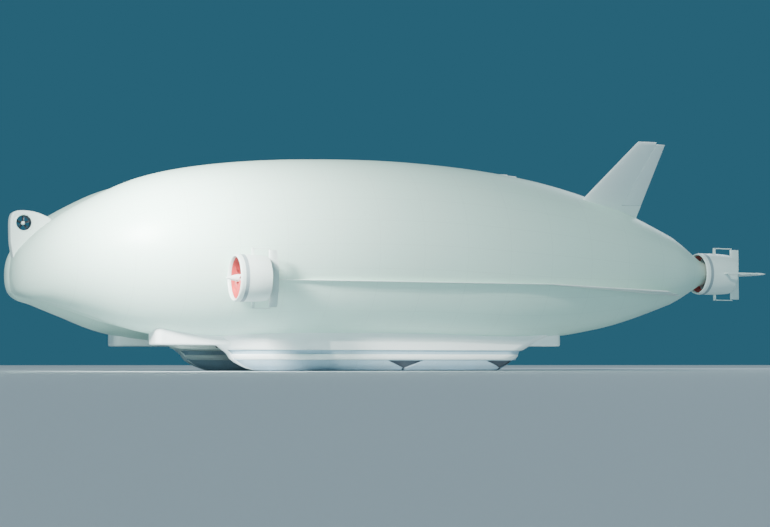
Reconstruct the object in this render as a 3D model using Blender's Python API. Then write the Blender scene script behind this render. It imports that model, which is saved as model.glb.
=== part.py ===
"""Hybrid airship, a 1:10 scale model, parked on its two landing skids.

The hull is a thin shell of three lobes side by side: two long round lobes and a
narrow one between them. Ducted propellers stand at the sides and at the tails,
a small one lies crosswise on the nose, and the cabin hangs between the skids.

Metres, +Z up, nose towards -X, port side towards -Y. Places along the hull are
given as a distance back from the nose, and at() turns them into X.
"""
import math

import bmesh
import bpy
from mathutils import Matrix, Vector

for old in list(bpy.data.objects):
    bpy.data.objects.remove(old, do_unlink=True)

# Driving dimensions of the whole model
LENGTH = 11.90
MIDDLE = LENGTH / 2
SEAT_GAP = 0.0003
RUNNING_GAP = 0.0008
SWING_GAP = 0.006
FLATNESS = 0.000002
SIDES = (("port", -1), ("starboard", 1))

# Hull lobes: back from the nose, sideways, up from the floor, radius
LOBE_WALL = 0.010
LOBE_AROUND = 22
KEEL_AROUND = 16
LOBE_STATIONS = (
    (0.00, 0.20, 1.420, 0.03),
    (0.05, 0.28, 1.430, 0.26),
    (0.20, 0.44, 1.480, 0.42),
    (0.48, 0.68, 1.580, 0.59),
    (0.95, 0.90, 1.650, 0.82),
    (1.70, 1.03, 1.695, 1.12),
    (2.70, 1.09, 1.740, 1.29),
    (4.10, 1.10, 1.820, 1.34),
    (5.90, 1.10, 1.830, 1.35),
    (7.70, 1.16, 1.740, 1.27),
    (9.10, 1.30, 1.660, 0.99),
    (10.20, 1.46, 1.600, 0.57),
    (10.50, 1.53, 1.575, 0.38),
    (10.70, 1.57, 1.560, 0.235),
    (10.90, 1.60, 1.550, 0.15),
)
# Middle lobe: back from the nose, up from the floor, half width, half height
KEEL_STATIONS = (
    (0.02, 1.420, 0.10, 0.04),
    (0.06, 1.430, 0.26, 0.25),
    (0.20, 1.480, 0.36, 0.40),
    (0.48, 1.580, 0.44, 0.56),
    (0.95, 1.650, 0.50, 0.77),
    (1.70, 1.695, 0.54, 1.04),
    (2.70, 1.740, 0.56, 1.20),
    (4.10, 1.820, 0.57, 1.25),
    (5.90, 1.830, 0.57, 1.26),
    (7.70, 1.740, 0.56, 1.17),
    (8.90, 1.680, 0.50, 0.90),
    (9.60, 1.650, 0.36, 0.58),
    (9.90, 1.640, 0.20, 0.32),
    (10.0, 1.635, 0.06, 0.10),
)
STATIONS_BETWEEN = 1.0
HATCH_BACK = 4.60
HATCH_SIZE = 0.20

# Side strakes and the stabilisers that carry them on aft
CHINE_HEIGHT = 1.30
STRAKE_FRONT = 3.30
STRAKE_REAR = 7.70
STRAKE_THICKNESS = 0.036
STRAKE_ROOT = 2.10
STRAKE_PLACES = (4.10, 5.00, 5.90, 6.80)
STABILISER_REAR = 10.25
STABILISER_TIP = 9.60
STABILISER_FALL = 0.045
EDGE_SHARE = 0.35
# Stabiliser: back from the nose, root's place sideways, thickness
STABILISER_ROWS = (
    (STRAKE_REAR, 1.95, STRAKE_THICKNESS),
    (8.20, 1.90, 0.050),
    (9.00, 1.80, 0.060),
    (STABILISER_TIP, 1.70, 0.060),
    (STABILISER_REAR, 1.50, 0.030),
)
# Outer edge of strake and stabiliser: back from the nose, sideways
CHINE_EDGE = (
    (3.30, 2.325),
    (4.10, 2.40),
    (5.90, 2.43),
    (7.70, 2.46),
    (8.80, 2.53),
    (9.60, 2.60),
)

# Elevators, placed along the stabiliser's trailing edge from its tip inwards
ELEVATOR_CHORD = 0.26
ELEVATOR_START = 0.04
ELEVATOR_END = 0.50
ELEVATOR_KNUCKLES = (0.10, 0.27, 0.44)
BARREL = 0.016
KNUCKLE_LENGTH = 0.03
KNUCKLE_THICKNESS = 0.020

# Canted fins: root and tip of the aerofoil's middle plane
FIN_ROOT = ((8.41, 1.62, 2.45), 1.21)
FIN_TIP = ((9.09, 2.60, 3.50), 0.48)
RUDDER_SHARE = 0.30
RUDDER_START = 0.15
RUDDER_END = 0.97
RUDDER_KNUCKLES = (0.22, 0.55, 0.88)
FIN_FOOT = -0.12
FOOT_GAP = 0.009
FOOT_OVERLAP = 0.04
FIN_ROOT_THICKNESS = 0.09
FIN_TIP_THICKNESS = 0.045
REAR_SHARE = 0.60
TRAILING_HALF = 0.004

# Ducted propellers: back of front rim, sideways, height
FORE_DUCT = (2.62, 2.67, 1.295)
FORE_DUCT_LENGTH = 0.46
STERN_DUCT = (10.72, 1.60, 1.550)
STERN_DUCT_LENGTH = 0.58
DUCT_OUTER = 0.33
DUCT_INNER = 0.295
DUCT_AROUND = 24
STRUT_REACH = DUCT_INNER * math.cos(math.pi / DUCT_AROUND) - SEAT_GAP
BLADES = 6
BLADE_RADIUS = 0.285
HUB_RADIUS = 0.06
VANE_REACH = 0.40
VANE_THICKNESS = 0.030
ARM_HALF = 0.012
ARM_BURIED = 0.014
ARM_UNDER = 0.010
ARM_OVER = 0.0235
RISER_TOP = 0.024
RISER_LENGTH = 0.04
RISER_SHARE = 0.55
PIN_RADIUS = 0.008
PIN_LENGTH = 0.012

# Landing skids: the plan of a level is a narrow stem, sides that flare aft and a round stern
SKID_SIDE = 1.23
STEM_SHARE = 0.22
PROW_SHARE = 2.0
STERN_SHARE = 0.9
FLARE = 1.8
FLARE_PLACES = (1.0, 0.58, 0.32, 0.14, 0.04, 0.0)
STERN_POINTS = 9
NOTCH_PLACES = (5.65, 7.27)
NOTCH_WIDTH = 0.56
NOTCH_DEPTH = 0.045

# Cabin between the skids
CABIN_WALL = 0.018
CABIN_HALF_WIDTH = 0.30
CABIN_FRONT = 3.55
CABIN_REAR = 6.00
CABIN_FLOOR = 0.12
CABIN_CHAMFER = 0.03
CABIN_TOP = 0.85
FLOOR_THICKNESS = 0.020
RAMP_KNUCKLES = (-0.20, 0.20)
# Flight deck: back from the nose, half width, floor height, roof height
FLIGHT_DECK_STATIONS = (
    (2.45, 0.130, 0.395, 0.500),
    (2.50, 0.185, 0.350, 0.560),
    (2.62, 0.240, 0.328, 0.660),
    (2.80, 0.265, 0.320, 0.700),
    (3.36, 0.265, 0.320, 0.700),
    (3.5497, 0.300, 0.120, 0.700),
)
DECK_TOP = 0.9
ROOM_REAR = 3.50
CEILING = 0.500
WINDOW_BOTTOM = 0.432
WINDOW_TOP = 0.490
WINDOW_REACH = (0.20, 0.40)
SIDE_WINDOWS = (2.66, 2.785, 2.91)
SIDE_WINDOW_LENGTH = 0.10
FRONT_WINDOW = (0.012, 0.098)
FRONT_CUT = (2.40, 2.52)
GLAZING_REAR = 3.05
GLAZING_THICKNESS = 0.005
DOOR_FRONT = 3.10
DOOR_LENGTH = 0.115
DOOR_BOTTOM = 0.345
DOOR_TOP = 0.495
DOOR_FACE = -0.265
DOOR_BEVEL = 0.005
DOOR_HINGE = (DOOR_FRONT - 0.003, -0.2722)
DOOR_BARREL = 0.005
DOOR_PAD = 0.008
DOOR_PAD_INSET = 0.03
RAMP_HALF = 0.009
RAMP_AXIS = (CABIN_REAR + SWING_GAP + RAMP_HALF, CABIN_FLOOR + 0.010)

# Crosswise thruster on the nose
BOW_CENTRE = (0.207, 0.0, 2.175)
BOW_HALF_WIDTH = 0.10
BOW_HOLE = 0.112
# Its side outline: back from the nose, up from the floor, below and behind its rounded brow
BOW_BELOW = ((0.12, 1.55), (0.030, 1.80), (0.010, 2.05))
BOW_BEHIND = ((0.30, 2.355), (0.46, 2.315), (0.62, 2.235), (0.74, 2.10), (0.60, 1.80))
BOW_BROW = (0.13, 2.235)
BOW_BROW_RADIUS = 0.12
BOW_TAPER = 0.012

# Section of the strut that carries a fore duct: back from its rim, up from its axis
PYLON_OUTLINE = (
    (0.06, 0.020),
    (0.12, 0.050),
    (0.24, 0.056),
    (0.40, 0.030),
    (0.40, 0.010),
    (0.24, -0.016),
    (0.12, -0.010),
)
PYLON_REACH = (2.10, 2.60)


def at(back, side, up):
    """Turn a place measured back from the nose into world metres."""
    return Vector((back - MIDDLE, side, up))


def material(name, colour, roughness, metallic=0.0):
    """A plain Principled material."""
    made = bpy.data.materials.new(name)
    made.use_nodes = True
    made.diffuse_color = (*colour, 1.0)
    shader = made.node_tree.nodes["Principled BSDF"]
    shader.inputs["Base Color"].default_value = (*colour, 1.0)
    shader.inputs["Roughness"].default_value = roughness
    shader.inputs["Metallic"].default_value = metallic
    return made


HULL_FABRIC = material("hull_fabric", (0.80, 0.86, 0.83), 0.45)
PAINTED_PANEL = material("painted_panel", (0.86, 0.88, 0.88), 0.35)
SKIRT_FABRIC = material("skirt_fabric", (0.52, 0.63, 0.74), 0.60)
BLADE_PAINT = material("blade_paint", (0.72, 0.30, 0.30), 0.40)
DARK_METAL = material("dark_metal", (0.12, 0.13, 0.14), 0.45, 0.8)
GLAZING = material("glazing", (0.02, 0.025, 0.03), 0.08)


def link(name, mesh, finish=None):
    """Put a mesh in the scene as one named object."""
    made = bpy.data.objects.new(name, mesh)
    bpy.context.collection.objects.link(made)
    if finish:
        made.data.materials.append(finish)
    return made


def is_bent(face):
    """Whether a face's corners leave its plane by more than a hair."""
    middle = face.calc_center_median()
    return max(abs((corner.co - middle).dot(face.normal)) for corner in face.verts) > FLATNESS


def solid(name, points, faces, finish=None):
    """Make a closed body of flat faces that point outwards, which cut cleanly."""
    work = bmesh.new()
    corners = [work.verts.new(point) for point in points]
    for face in faces:
        work.faces.new([corners[index] for index in face])
    bmesh.ops.recalc_face_normals(work, faces=work.faces)
    work.normal_update()
    bmesh.ops.triangulate(work, faces=[face for face in work.faces if is_bent(face)])
    mesh = bpy.data.meshes.new(name)
    work.to_mesh(mesh)
    work.free()
    return link(name, mesh, finish)


def loft(name, rings, finish=None):
    """Skin a row of rings that all have the same number of points, and cap both ends."""
    count = len(rings[0])
    points = [point for ring in rings for point in ring]
    faces = [tuple(range(count)), tuple(range(len(points) - count, len(points)))]
    for row in range(len(rings) - 1):
        for column in range(count):
            beside = (column + 1) % count
            first = row * count
            second = first + count
            faces.append((first + column, first + beside, second + beside, second + column))
    return solid(name, points, faces, finish)


def box(name, low, high, finish=None):
    """A straight box between two corners, given in world metres."""
    (x0, y0, z0), (x1, y1, z1) = low, high
    rings = [
        [(x, y0, z0), (x, y1, z0), (x, y1, z1), (x, y0, z1)]
        for x in (x0, x1)
    ]
    return loft(name, rings, finish)


def turned(name, profile, centre, around, axis="X", closed=False, finish=None):
    """Turn a profile of (along, radius) pairs about an axis through centre."""
    points = []
    for along, radius in profile:
        for step in range(around):
            angle = 2 * math.pi * (step + 0.5) / around
            across = (radius * math.cos(angle), radius * math.sin(angle))
            if axis == "X":
                offset = Vector((along, across[0], across[1]))
            elif axis == "Y":
                offset = Vector((across[0], along, across[1]))
            else:
                offset = Vector((across[0], across[1], along))
            points.append(Vector(centre) + offset)
    rows = len(profile)
    faces = []
    for row in range(rows if closed else rows - 1):
        first = row * around
        second = ((row + 1) % rows) * around
        for step in range(around):
            beside = (step + 1) % around
            faces.append((first + step, first + beside, second + beside, second + step))
    if not closed:
        faces.append(tuple(range(around)))
        faces.append(tuple(range((rows - 1) * around, rows * around)))
    return solid(name, points, faces, finish)


def combine(piece, other, operation="DIFFERENCE", keep_other=False):
    """Cut, join or trim a piece with another solid, and keep the result in its mesh."""
    change = piece.modifiers.new(operation.lower(), "BOOLEAN")
    change.operation = operation
    change.object = other
    graph = bpy.context.evaluated_depsgraph_get()
    result = bpy.data.meshes.new_from_object(piece.evaluated_get(graph))
    piece.modifiers.remove(change)
    old_mesh = piece.data
    piece.data = result
    bpy.data.meshes.remove(old_mesh)
    if not keep_other:
        bpy.data.objects.remove(other, do_unlink=True)
    return piece


def turn_into_place(piece, matrix):
    """Move a piece's mesh by a matrix."""
    piece.data.transform(matrix)
    return piece


def set_origin(piece, pivot):
    """Move a piece's origin onto its joint's axis without moving its shape."""
    piece.data.transform(Matrix.Translation(-Vector(pivot)))
    piece.location = pivot


def frame_of(origin, along, up):
    """A matrix whose local X runs along the first direction and local Z near the second."""
    first = Vector(along).normalized()
    second = Vector(up).cross(first).normalized()
    third = first.cross(second)
    matrix = Matrix((first, second, third)).transposed().to_4x4()
    return Matrix.Translation(Vector(origin)) @ matrix


def smooth_rows(table, place):
    """Read a table at a place by a cubic through its rows."""
    last = len(table) - 1
    index = max(i for i in range(last) if table[i][0] <= place or i == 0)
    before = table[max(index - 1, 0)]
    low = table[index]
    high = table[index + 1]
    after = table[min(index + 2, last)]
    span = high[0] - low[0]
    share = (place - low[0]) / span
    values = []
    for column in range(1, len(low)):
        rise_low = (high[column] - before[column]) / (high[0] - before[0]) * span
        rise_high = (after[column] - low[column]) / (after[0] - low[0]) * span
        values.append(
            low[column] * (1 + 2 * share) * (1 - share) ** 2
            + high[column] * share ** 2 * (3 - 2 * share)
            + rise_low * share * (1 - share) ** 2
            - rise_high * share ** 2 * (1 - share)
        )
    return values


def hull_places(table):
    """The table's own places, with one more in the middle of each long gap."""
    places = []
    for row, following in zip(table, table[1:]):
        places.append(row[0])
        if following[0] - row[0] > STATIONS_BETWEEN:
            places.append((row[0] + following[0]) / 2)
    places.append(table[-1][0])
    return places


def hull_solid(name, growth):
    """The three lobes joined into one solid, grown or shrunk by a small amount."""
    def pushed(back):
        return back - growth * (1 - 2 * back / LOBE_STATIONS[-1][0])

    lobes = []
    for side in (-1, 1):
        rings = []
        for back in hull_places(LOBE_STATIONS):
            across, up, radius = smooth_rows(LOBE_STATIONS, back)
            radius += growth
            ring = []
            for step in range(LOBE_AROUND):
                angle = 2 * math.pi * (step + 0.5) / LOBE_AROUND
                sideways = side * (across + radius * math.cos(angle))
                ring.append(at(pushed(back), sideways, up + radius * math.sin(angle)))
            rings.append(ring)
        lobes.append(loft(name, rings))
    rings = []
    for back in hull_places(KEEL_STATIONS):
        up, half_width, half_height = smooth_rows(KEEL_STATIONS, back)
        ring = []
        for step in range(KEEL_AROUND):
            angle = 2 * math.pi * step / KEEL_AROUND
            sideways = (half_width + growth) * math.cos(angle)
            ring.append(at(pushed(back), sideways, up + (half_height + growth) * math.sin(angle)))
        rings.append(ring)
    middle = loft("middle_lobe", rings)
    combine(lobes[0], lobes[1], "UNION")
    combine(lobes[0], middle, "UNION")
    return lobes[0]


def envelope():
    """A thin shell with its service hatch hidden above the load bay."""
    shell = hull_solid("envelope", 0.0)
    combine(shell, hull_solid("gas_space", -LOBE_WALL))
    half = HATCH_SIZE / 2
    hatch = box("hatch", at(HATCH_BACK - half, -half, 0.4), at(HATCH_BACK + half, half, 1.0))
    combine(shell, hatch)
    shell.data.materials.clear()
    shell.data.materials.append(HULL_FABRIC)
    return shell


HULL_CUTTER = hull_solid("hull_cutter", SEAT_GAP)


def seat_on_hull(piece):
    """Trim away whatever of a piece would lie inside the hull."""
    combine(piece, HULL_CUTTER, "DIFFERENCE", keep_other=True)
    return piece


def chine_outer(back):
    """How far out the strake's and the stabiliser's edge stands."""
    for low, high in zip(CHINE_EDGE, CHINE_EDGE[1:]):
        if back <= high[0]:
            share = (back - low[0]) / (high[0] - low[0])
            return low[1] + share * (high[1] - low[1])
    return CHINE_EDGE[-1][1]


def chine_height(back):
    """The strake lies level, and the stabiliser falls slightly towards the tail."""
    return CHINE_HEIGHT - max(back - STRAKE_REAR, 0.0) * STABILISER_FALL


def chine_ring(side, back, inner, outer, thickness):
    """A thin section of strake or stabiliser, thicker at its root."""
    up = chine_height(back)
    edge = thickness * EDGE_SHARE
    return [
        at(back, side * inner, up - thickness / 2),
        at(back, side * outer, up - edge / 2),
        at(back, side * outer, up + edge / 2),
        at(back, side * inner, up + thickness / 2),
    ]


def strake(side_name, side):
    """The long narrow ledge on the hull's widest line."""
    rings = [
        chine_ring(side, back, STRAKE_ROOT, chine_outer(back), STRAKE_THICKNESS)
        for back in (STRAKE_FRONT, *STRAKE_PLACES, STRAKE_REAR - SEAT_GAP)
    ]
    return seat_on_hull(loft(f"strake_{side_name}", rings, PAINTED_PANEL))


# Trailing edge of the stabiliser, from its tip to the hull
TRAILING_TIP = Vector((STABILISER_TIP, CHINE_EDGE[-1][1], 0))
TRAILING_ROOT = Vector((STABILISER_REAR, 1.86, 0))


def trailing_frame(side):
    """Local X runs inboard along the trailing edge, local Y forward, local Z up or down."""
    tip = at(TRAILING_TIP.x, side * TRAILING_TIP.y, chine_height(STABILISER_TIP))
    root = at(TRAILING_ROOT.x, side * TRAILING_ROOT.y, chine_height(STABILISER_REAR))
    return frame_of(tip, root - tip, (0, 0, 1))


def forward_sign(side):
    """Which way along the trailing frame's local Y the nose lies."""
    return 1 if (trailing_frame(side).to_3x3() @ Vector((0, 1, 0))).x < 0 else -1


def barrel(name, frame, centre, start, end, radius, finish=None):
    """A hinge barrel along local X."""
    made = turned(name, ((start, radius), (end, radius)), centre, 12, "X", finish=finish)
    return turn_into_place(made, frame)


def hinge_knuckle(place, buried, face):
    """A block that reaches to a hinge barrel; local X runs along the hinge, local Y across it."""
    low, high = sorted((buried, face))
    return box(
        "knuckle",
        (place - KNUCKLE_LENGTH / 2, low, -KNUCKLE_THICKNESS / 2),
        (place + KNUCKLE_LENGTH / 2, high, KNUCKLE_THICKNESS / 2),
    )


def stabiliser(side_name, side):
    """The tailplane that carries the strake on to the tail, notched for its elevator."""
    rings = []
    for back, inner, thickness in STABILISER_ROWS:
        outer = TRAILING_ROOT.y if back == STABILISER_REAR else chine_outer(back)
        rings.append(chine_ring(side, back, inner, outer, thickness))
    piece = loft(f"stabiliser_{side_name}", rings, PAINTED_PANEL)
    frame = trailing_frame(side)
    ahead = forward_sign(side)
    hinge = ahead * ELEVATOR_CHORD
    back_face = hinge + ahead * (BARREL + SWING_GAP)
    low_y, high_y = sorted((back_face, -ahead * 1.0))
    notch = box(
        "notch",
        (ELEVATOR_START - SWING_GAP, low_y, -0.2),
        (ELEVATOR_END + SWING_GAP, high_y, 0.2),
    )
    combine(piece, turn_into_place(notch, frame))
    for place in ELEVATOR_KNUCKLES:
        knuckle = hinge_knuckle(place, back_face + ahead * 0.01, hinge + ahead * (BARREL + SEAT_GAP))
        combine(piece, turn_into_place(knuckle, frame), "UNION")
    return seat_on_hull(piece)


def elevator(side_name, side):
    """The elevator, a wedge behind a round hinge barrel."""
    frame = trailing_frame(side)
    ahead = forward_sign(side)
    hinge = ahead * ELEVATOR_CHORD
    piece = barrel(f"elevator_{side_name}", frame, (0, hinge, 0),
                   ELEVATOR_START, ELEVATOR_END, BARREL, PAINTED_PANEL)
    rings = [
        [(x, hinge, -BARREL * 0.85), (x, hinge, BARREL * 0.85),
         (x, 0, TRAILING_HALF), (x, 0, -TRAILING_HALF)]
        for x in (ELEVATOR_START, ELEVATOR_END)
    ]
    wedge = turn_into_place(loft("wedge", rings), frame)
    combine(piece, wedge, "UNION")
    pivot = frame @ Vector(((ELEVATOR_START + ELEVATOR_END) / 2, hinge, 0))
    set_origin(piece, pivot)
    return piece


# The aerofoil's outline as share of chord and share of thickness
FIN_OUTLINE = ((0.0, 0.0), (0.04, 0.55), (0.16, 0.90), (0.36, 1.0), (0.62, 0.74))


def fin_frame(side):
    """Matrix for the fin: local X aft, local Y through the thickness, local Z up the span."""
    (root_back, root_side, root_up), _ = FIN_ROOT
    (_, tip_side, tip_up), _ = FIN_TIP
    root = at(root_back, side * root_side, root_up)
    span = Vector((0, side * (tip_side - root_side), tip_up - root_up))
    length = span.length
    up = span.normalized()
    first = Vector((1, 0, 0))
    second = up.cross(first)
    matrix = Matrix((first, second, up)).transposed().to_4x4()
    return Matrix.Translation(root) @ matrix, length


def fin_numbers(share):
    """Leading edge, chord and thickness at a share of the span."""
    lead = share * (FIN_TIP[0][0] - FIN_ROOT[0][0])
    chord = FIN_ROOT[1] + share * (FIN_TIP[1] - FIN_ROOT[1])
    thickness = FIN_ROOT_THICKNESS + share * (FIN_TIP_THICKNESS - FIN_ROOT_THICKNESS)
    return lead, chord, thickness


def rudder_hinge(share, length):
    """A point of the rudder's hinge line in the fin's own frame."""
    lead, chord, _ = fin_numbers(share)
    return Vector((lead + chord * (1 - RUDDER_SHARE), 0, share * length))


def rudder_frame(length):
    """In the fin's frame: local X up the hinge line, local Y aft, local Z through the thickness."""
    low = rudder_hinge(RUDDER_START, length)
    high = rudder_hinge(RUDDER_END, length)
    return frame_of(low, high - low, (0, 1, 0)), (high - low).length


def fin_foot(length):
    """The fixed part below the rudder, which carries the fin's rear edge down to the hull."""
    rings = []
    for share in (FIN_FOOT, RUDDER_START - FOOT_GAP / length):
        lead, chord, thickness = fin_numbers(share)
        front = rudder_hinge(share, length).x - BARREL - SWING_GAP - FOOT_OVERLAP
        half = thickness / 2 * REAR_SHARE
        rings.append([
            (front, half, share * length),
            (lead + chord, TRAILING_HALF, share * length),
            (lead + chord, -TRAILING_HALF, share * length),
            (front, -half, share * length),
        ])
    return loft("foot", rings)


def fin(side_name, side):
    """The fixed part of a canted fin, with hinge knuckles on the rear face above its foot."""
    frame, length = fin_frame(side)
    rings = []
    for share in (0.0, 1.0):
        lead, chord, thickness = fin_numbers(share)
        hinge = rudder_hinge(share, length)
        rear = hinge.x - BARREL - SWING_GAP
        upper = [(lead + chord * along, thickness / 2 * out) for along, out in FIN_OUTLINE]
        upper.append((rear, thickness / 2 * REAR_SHARE))
        outline = upper + [(x, -y) for x, y in reversed(upper[1:])]
        rings.append([(x, y, share * length) for x, y in outline])
    piece = turn_into_place(loft(f"fin_{side_name}", rings, PAINTED_PANEL), frame)
    combine(piece, turn_into_place(fin_foot(length), frame), "UNION")
    hinge_line, reach = rudder_frame(length)
    for share in RUDDER_KNUCKLES:
        place = reach * (share - RUDDER_START) / (RUDDER_END - RUDDER_START)
        knuckle = hinge_knuckle(place, -(BARREL + SWING_GAP + 0.02), -(BARREL + SEAT_GAP))
        combine(piece, turn_into_place(knuckle, frame @ hinge_line), "UNION")
    return seat_on_hull(piece)


def rudder(side_name, side):
    """The rudder, a wedge behind a round hinge barrel on the fin's hinge line."""
    frame, length = fin_frame(side)
    low = rudder_hinge(RUDDER_START, length)
    high = rudder_hinge(RUDDER_END, length)
    hinge_line, reach = rudder_frame(length)
    piece = barrel(f"rudder_{side_name}", frame @ hinge_line, (0, 0, 0),
                   0.0, reach, BARREL, PAINTED_PANEL)
    rings = []
    for share, hinge in ((RUDDER_START, low), (RUDDER_END, high)):
        lead, chord, _ = fin_numbers(share)
        trailing = lead + chord
        rings.append([
            (hinge.x, BARREL * 0.85, hinge.z),
            (trailing, TRAILING_HALF, hinge.z),
            (trailing, -TRAILING_HALF, hinge.z),
            (hinge.x, -BARREL * 0.85, hinge.z),
        ])
    wedge = turn_into_place(loft("wedge", rings), frame)
    combine(piece, wedge, "UNION")
    set_origin(piece, frame @ low)
    return piece


def skid_plan(front, rear, half_width):
    """Plan outline of a skid level, from its stern round to its stem and back."""
    stern = half_width * STERN_SHARE
    prow = half_width * PROW_SHARE
    outline = []
    for step in range(STERN_POINTS):
        angle = math.pi * (step / (STERN_POINTS - 1) - 0.5)
        outline.append((rear - stern + stern * math.cos(angle), half_width * math.sin(angle)))
    flared = []
    for share in FLARE_PLACES:
        opened = (1 - (1 - share) ** FLARE) ** (1 / FLARE)
        side = half_width * (STEM_SHARE + (1 - STEM_SHARE) * opened)
        flared.append((front + prow * share, side))
    return outline + flared + [(back, -side) for back, side in reversed(flared)]


def rounded_rectangle(front, rear, half_width, radius, corner_points=4):
    """Plan outline of a skid's fairing, round at its corners."""
    corners = (
        (rear - radius, half_width - radius, 0),
        (front + radius, half_width - radius, 90),
        (front + radius, -half_width + radius, 180),
        (rear - radius, -half_width + radius, 270),
    )
    outline = []
    for back, side, start in corners:
        for step in range(corner_points):
            angle = math.radians(start + 90 * step / (corner_points - 1))
            outline.append((back + radius * math.cos(angle), side + radius * math.sin(angle)))
    return outline


def levels_loft(name, levels, middle, finish, outline_of=skid_plan):
    """Stack plan outlines: height, then what the outline needs."""
    rings = []
    for up, *numbers in levels:
        rings.append([at(back, middle + side, up) for back, side in outline_of(*numbers)])
    return loft(name, rings, finish)


# Height, front, rear, half width
DECK_LEVELS = (
    (0.660, 2.30, 8.50, 0.300),
    (0.505, 2.62, 8.12, 0.345),
    (0.420, 2.76, 7.93, 0.365),
    (0.310, 2.92, 7.73, 0.380),
)
SKIRT_LEVELS = (
    (0.3097, 2.98, 7.69, 0.350),
    (0.252, 3.00, 7.67, 0.350),
    (0.250, 3.00, 7.67, 0.410),
    (0.165, 3.06, 7.59, 0.415),
    (0.163, 3.08, 7.56, 0.390),
    (0.080, 3.20, 7.45, 0.350),
    (0.028, 3.33, 7.36, 0.285),
    (0.000, 3.42, 7.30, 0.215),
)
# Height, front, rear, half width, corner radius
FAIRING_LEVELS = (
    (0.700, 1.84, 8.35, 0.250, 0.10),
    (0.380, 1.84, 8.35, 0.250, 0.10),
)


def skid_deck(side_name, side):
    """The white upper part of a skid, with the long shallow fairing that joins it to the lobe."""
    middle = side * SKID_SIDE
    piece = levels_loft(f"skid_deck_{side_name}", DECK_LEVELS, middle, PAINTED_PANEL)
    fairing = levels_loft("fairing", FAIRING_LEVELS, middle, PAINTED_PANEL, rounded_rectangle)
    combine(piece, fairing, "UNION")
    return seat_on_hull(piece)


def skirt_half_width(up):
    """The skirt's half width at a height."""
    rows = [(row[0], row[3]) for row in reversed(SKIRT_LEVELS)]
    for low, high in zip(rows, rows[1:]):
        if up <= high[0]:
            return low[1] + (up - low[0]) / (high[0] - low[0]) * (high[1] - low[1])
    return rows[-1][1]


def skid_skirt(side_name, side):
    """The air cushion's skirt below its rub rail, with a tapered gap between the bags."""
    middle = side * SKID_SIDE
    piece = levels_loft(f"skid_skirt_{side_name}", SKIRT_LEVELS, middle, SKIRT_FABRIC)
    half = NOTCH_WIDTH / 2
    stem = 0.03
    outline = ((-half, 0.155), (half, 0.155), (stem, 0.050), (stem, 0.014),
               (-stem, 0.014), (-stem, 0.050))
    for place in NOTCH_PLACES:
        for out in (-1, 1):
            rings = []
            for reach in (-NOTCH_DEPTH, 0.08):
                rings.append([
                    at(place + back, middle + out * (skirt_half_width(up) + reach), up)
                    for back, up in outline
                ])
            combine(piece, loft("notch", rings))
    return piece


def deck_ring(row, inset, roof):
    """A section of the cabin's nose, drawn in by an inset."""
    back, half_width, floor, top = row
    half_width -= inset
    floor += inset
    top = min(top, roof)
    bevel = min(0.03, half_width * 0.3)
    return [
        at(back, -half_width + bevel, floor),
        at(back, half_width - bevel, floor),
        at(back, half_width, floor + bevel),
        at(back, half_width, top),
        at(back, -half_width, top),
        at(back, -half_width, floor + bevel),
    ]


def flight_deck_body(name, inset, roof, rear):
    """The flight deck's solid, drawn in all round by an inset."""
    rows = []
    for index, row in enumerate(FLIGHT_DECK_STATIONS):
        moved = list(row)
        if index == 0:
            moved[0] += inset
        if index == 1:
            moved[0] += inset * 0.9
        if index == len(FLIGHT_DECK_STATIONS) - 1:
            before = FLIGHT_DECK_STATIONS[index - 1]
            share = (rear - before[0]) / (row[0] - before[0])
            moved = [a + share * (b - a) for a, b in zip(before, row)]
        rows.append(deck_ring(moved, inset, roof))
    return loft(name, rows)


def flight_deck():
    """The crew's cabin: a hollow body with its windows and doorway cut."""
    piece = flight_deck_body("flight_deck", 0.0, DECK_TOP, FLIGHT_DECK_STATIONS[-1][0])
    combine(piece, flight_deck_body("room", CABIN_WALL, CEILING, ROOM_REAR))
    for side in (-1, 1):
        for back in SIDE_WINDOWS:
            inner, outer = sorted(side * reach for reach in WINDOW_REACH)
            window = box("window", at(back, inner, WINDOW_BOTTOM),
                         at(back + SIDE_WINDOW_LENGTH, outer, WINDOW_TOP))
            combine(piece, window)
        inner, outer = sorted(side * reach for reach in FRONT_WINDOW)
        window = box("window", at(FRONT_CUT[0], inner, WINDOW_BOTTOM),
                     at(FRONT_CUT[1], outer, WINDOW_TOP))
        combine(piece, window)
    gap = SWING_GAP
    doorway = box("doorway", at(DOOR_FRONT - gap, -WINDOW_REACH[1], DOOR_BOTTOM - gap),
                  at(DOOR_FRONT + DOOR_LENGTH + gap, -WINDOW_REACH[0], DOOR_TOP + gap))
    combine(piece, doorway)
    for up in (DOOR_BOTTOM + DOOR_PAD_INSET, DOOR_TOP - DOOR_PAD_INSET):
        pad = box("pad", at(DOOR_HINGE[0] - DOOR_PAD, DOOR_HINGE[1] + DOOR_BARREL + SEAT_GAP,
                            up - DOOR_PAD),
                  at(DOOR_HINGE[0] - 2 * SEAT_GAP, DOOR_FACE + 0.005, up + DOOR_PAD))
        combine(piece, pad, "UNION")
    seat_on_hull(piece)
    piece.data.materials.clear()
    piece.data.materials.append(PAINTED_PANEL)
    return piece


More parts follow.
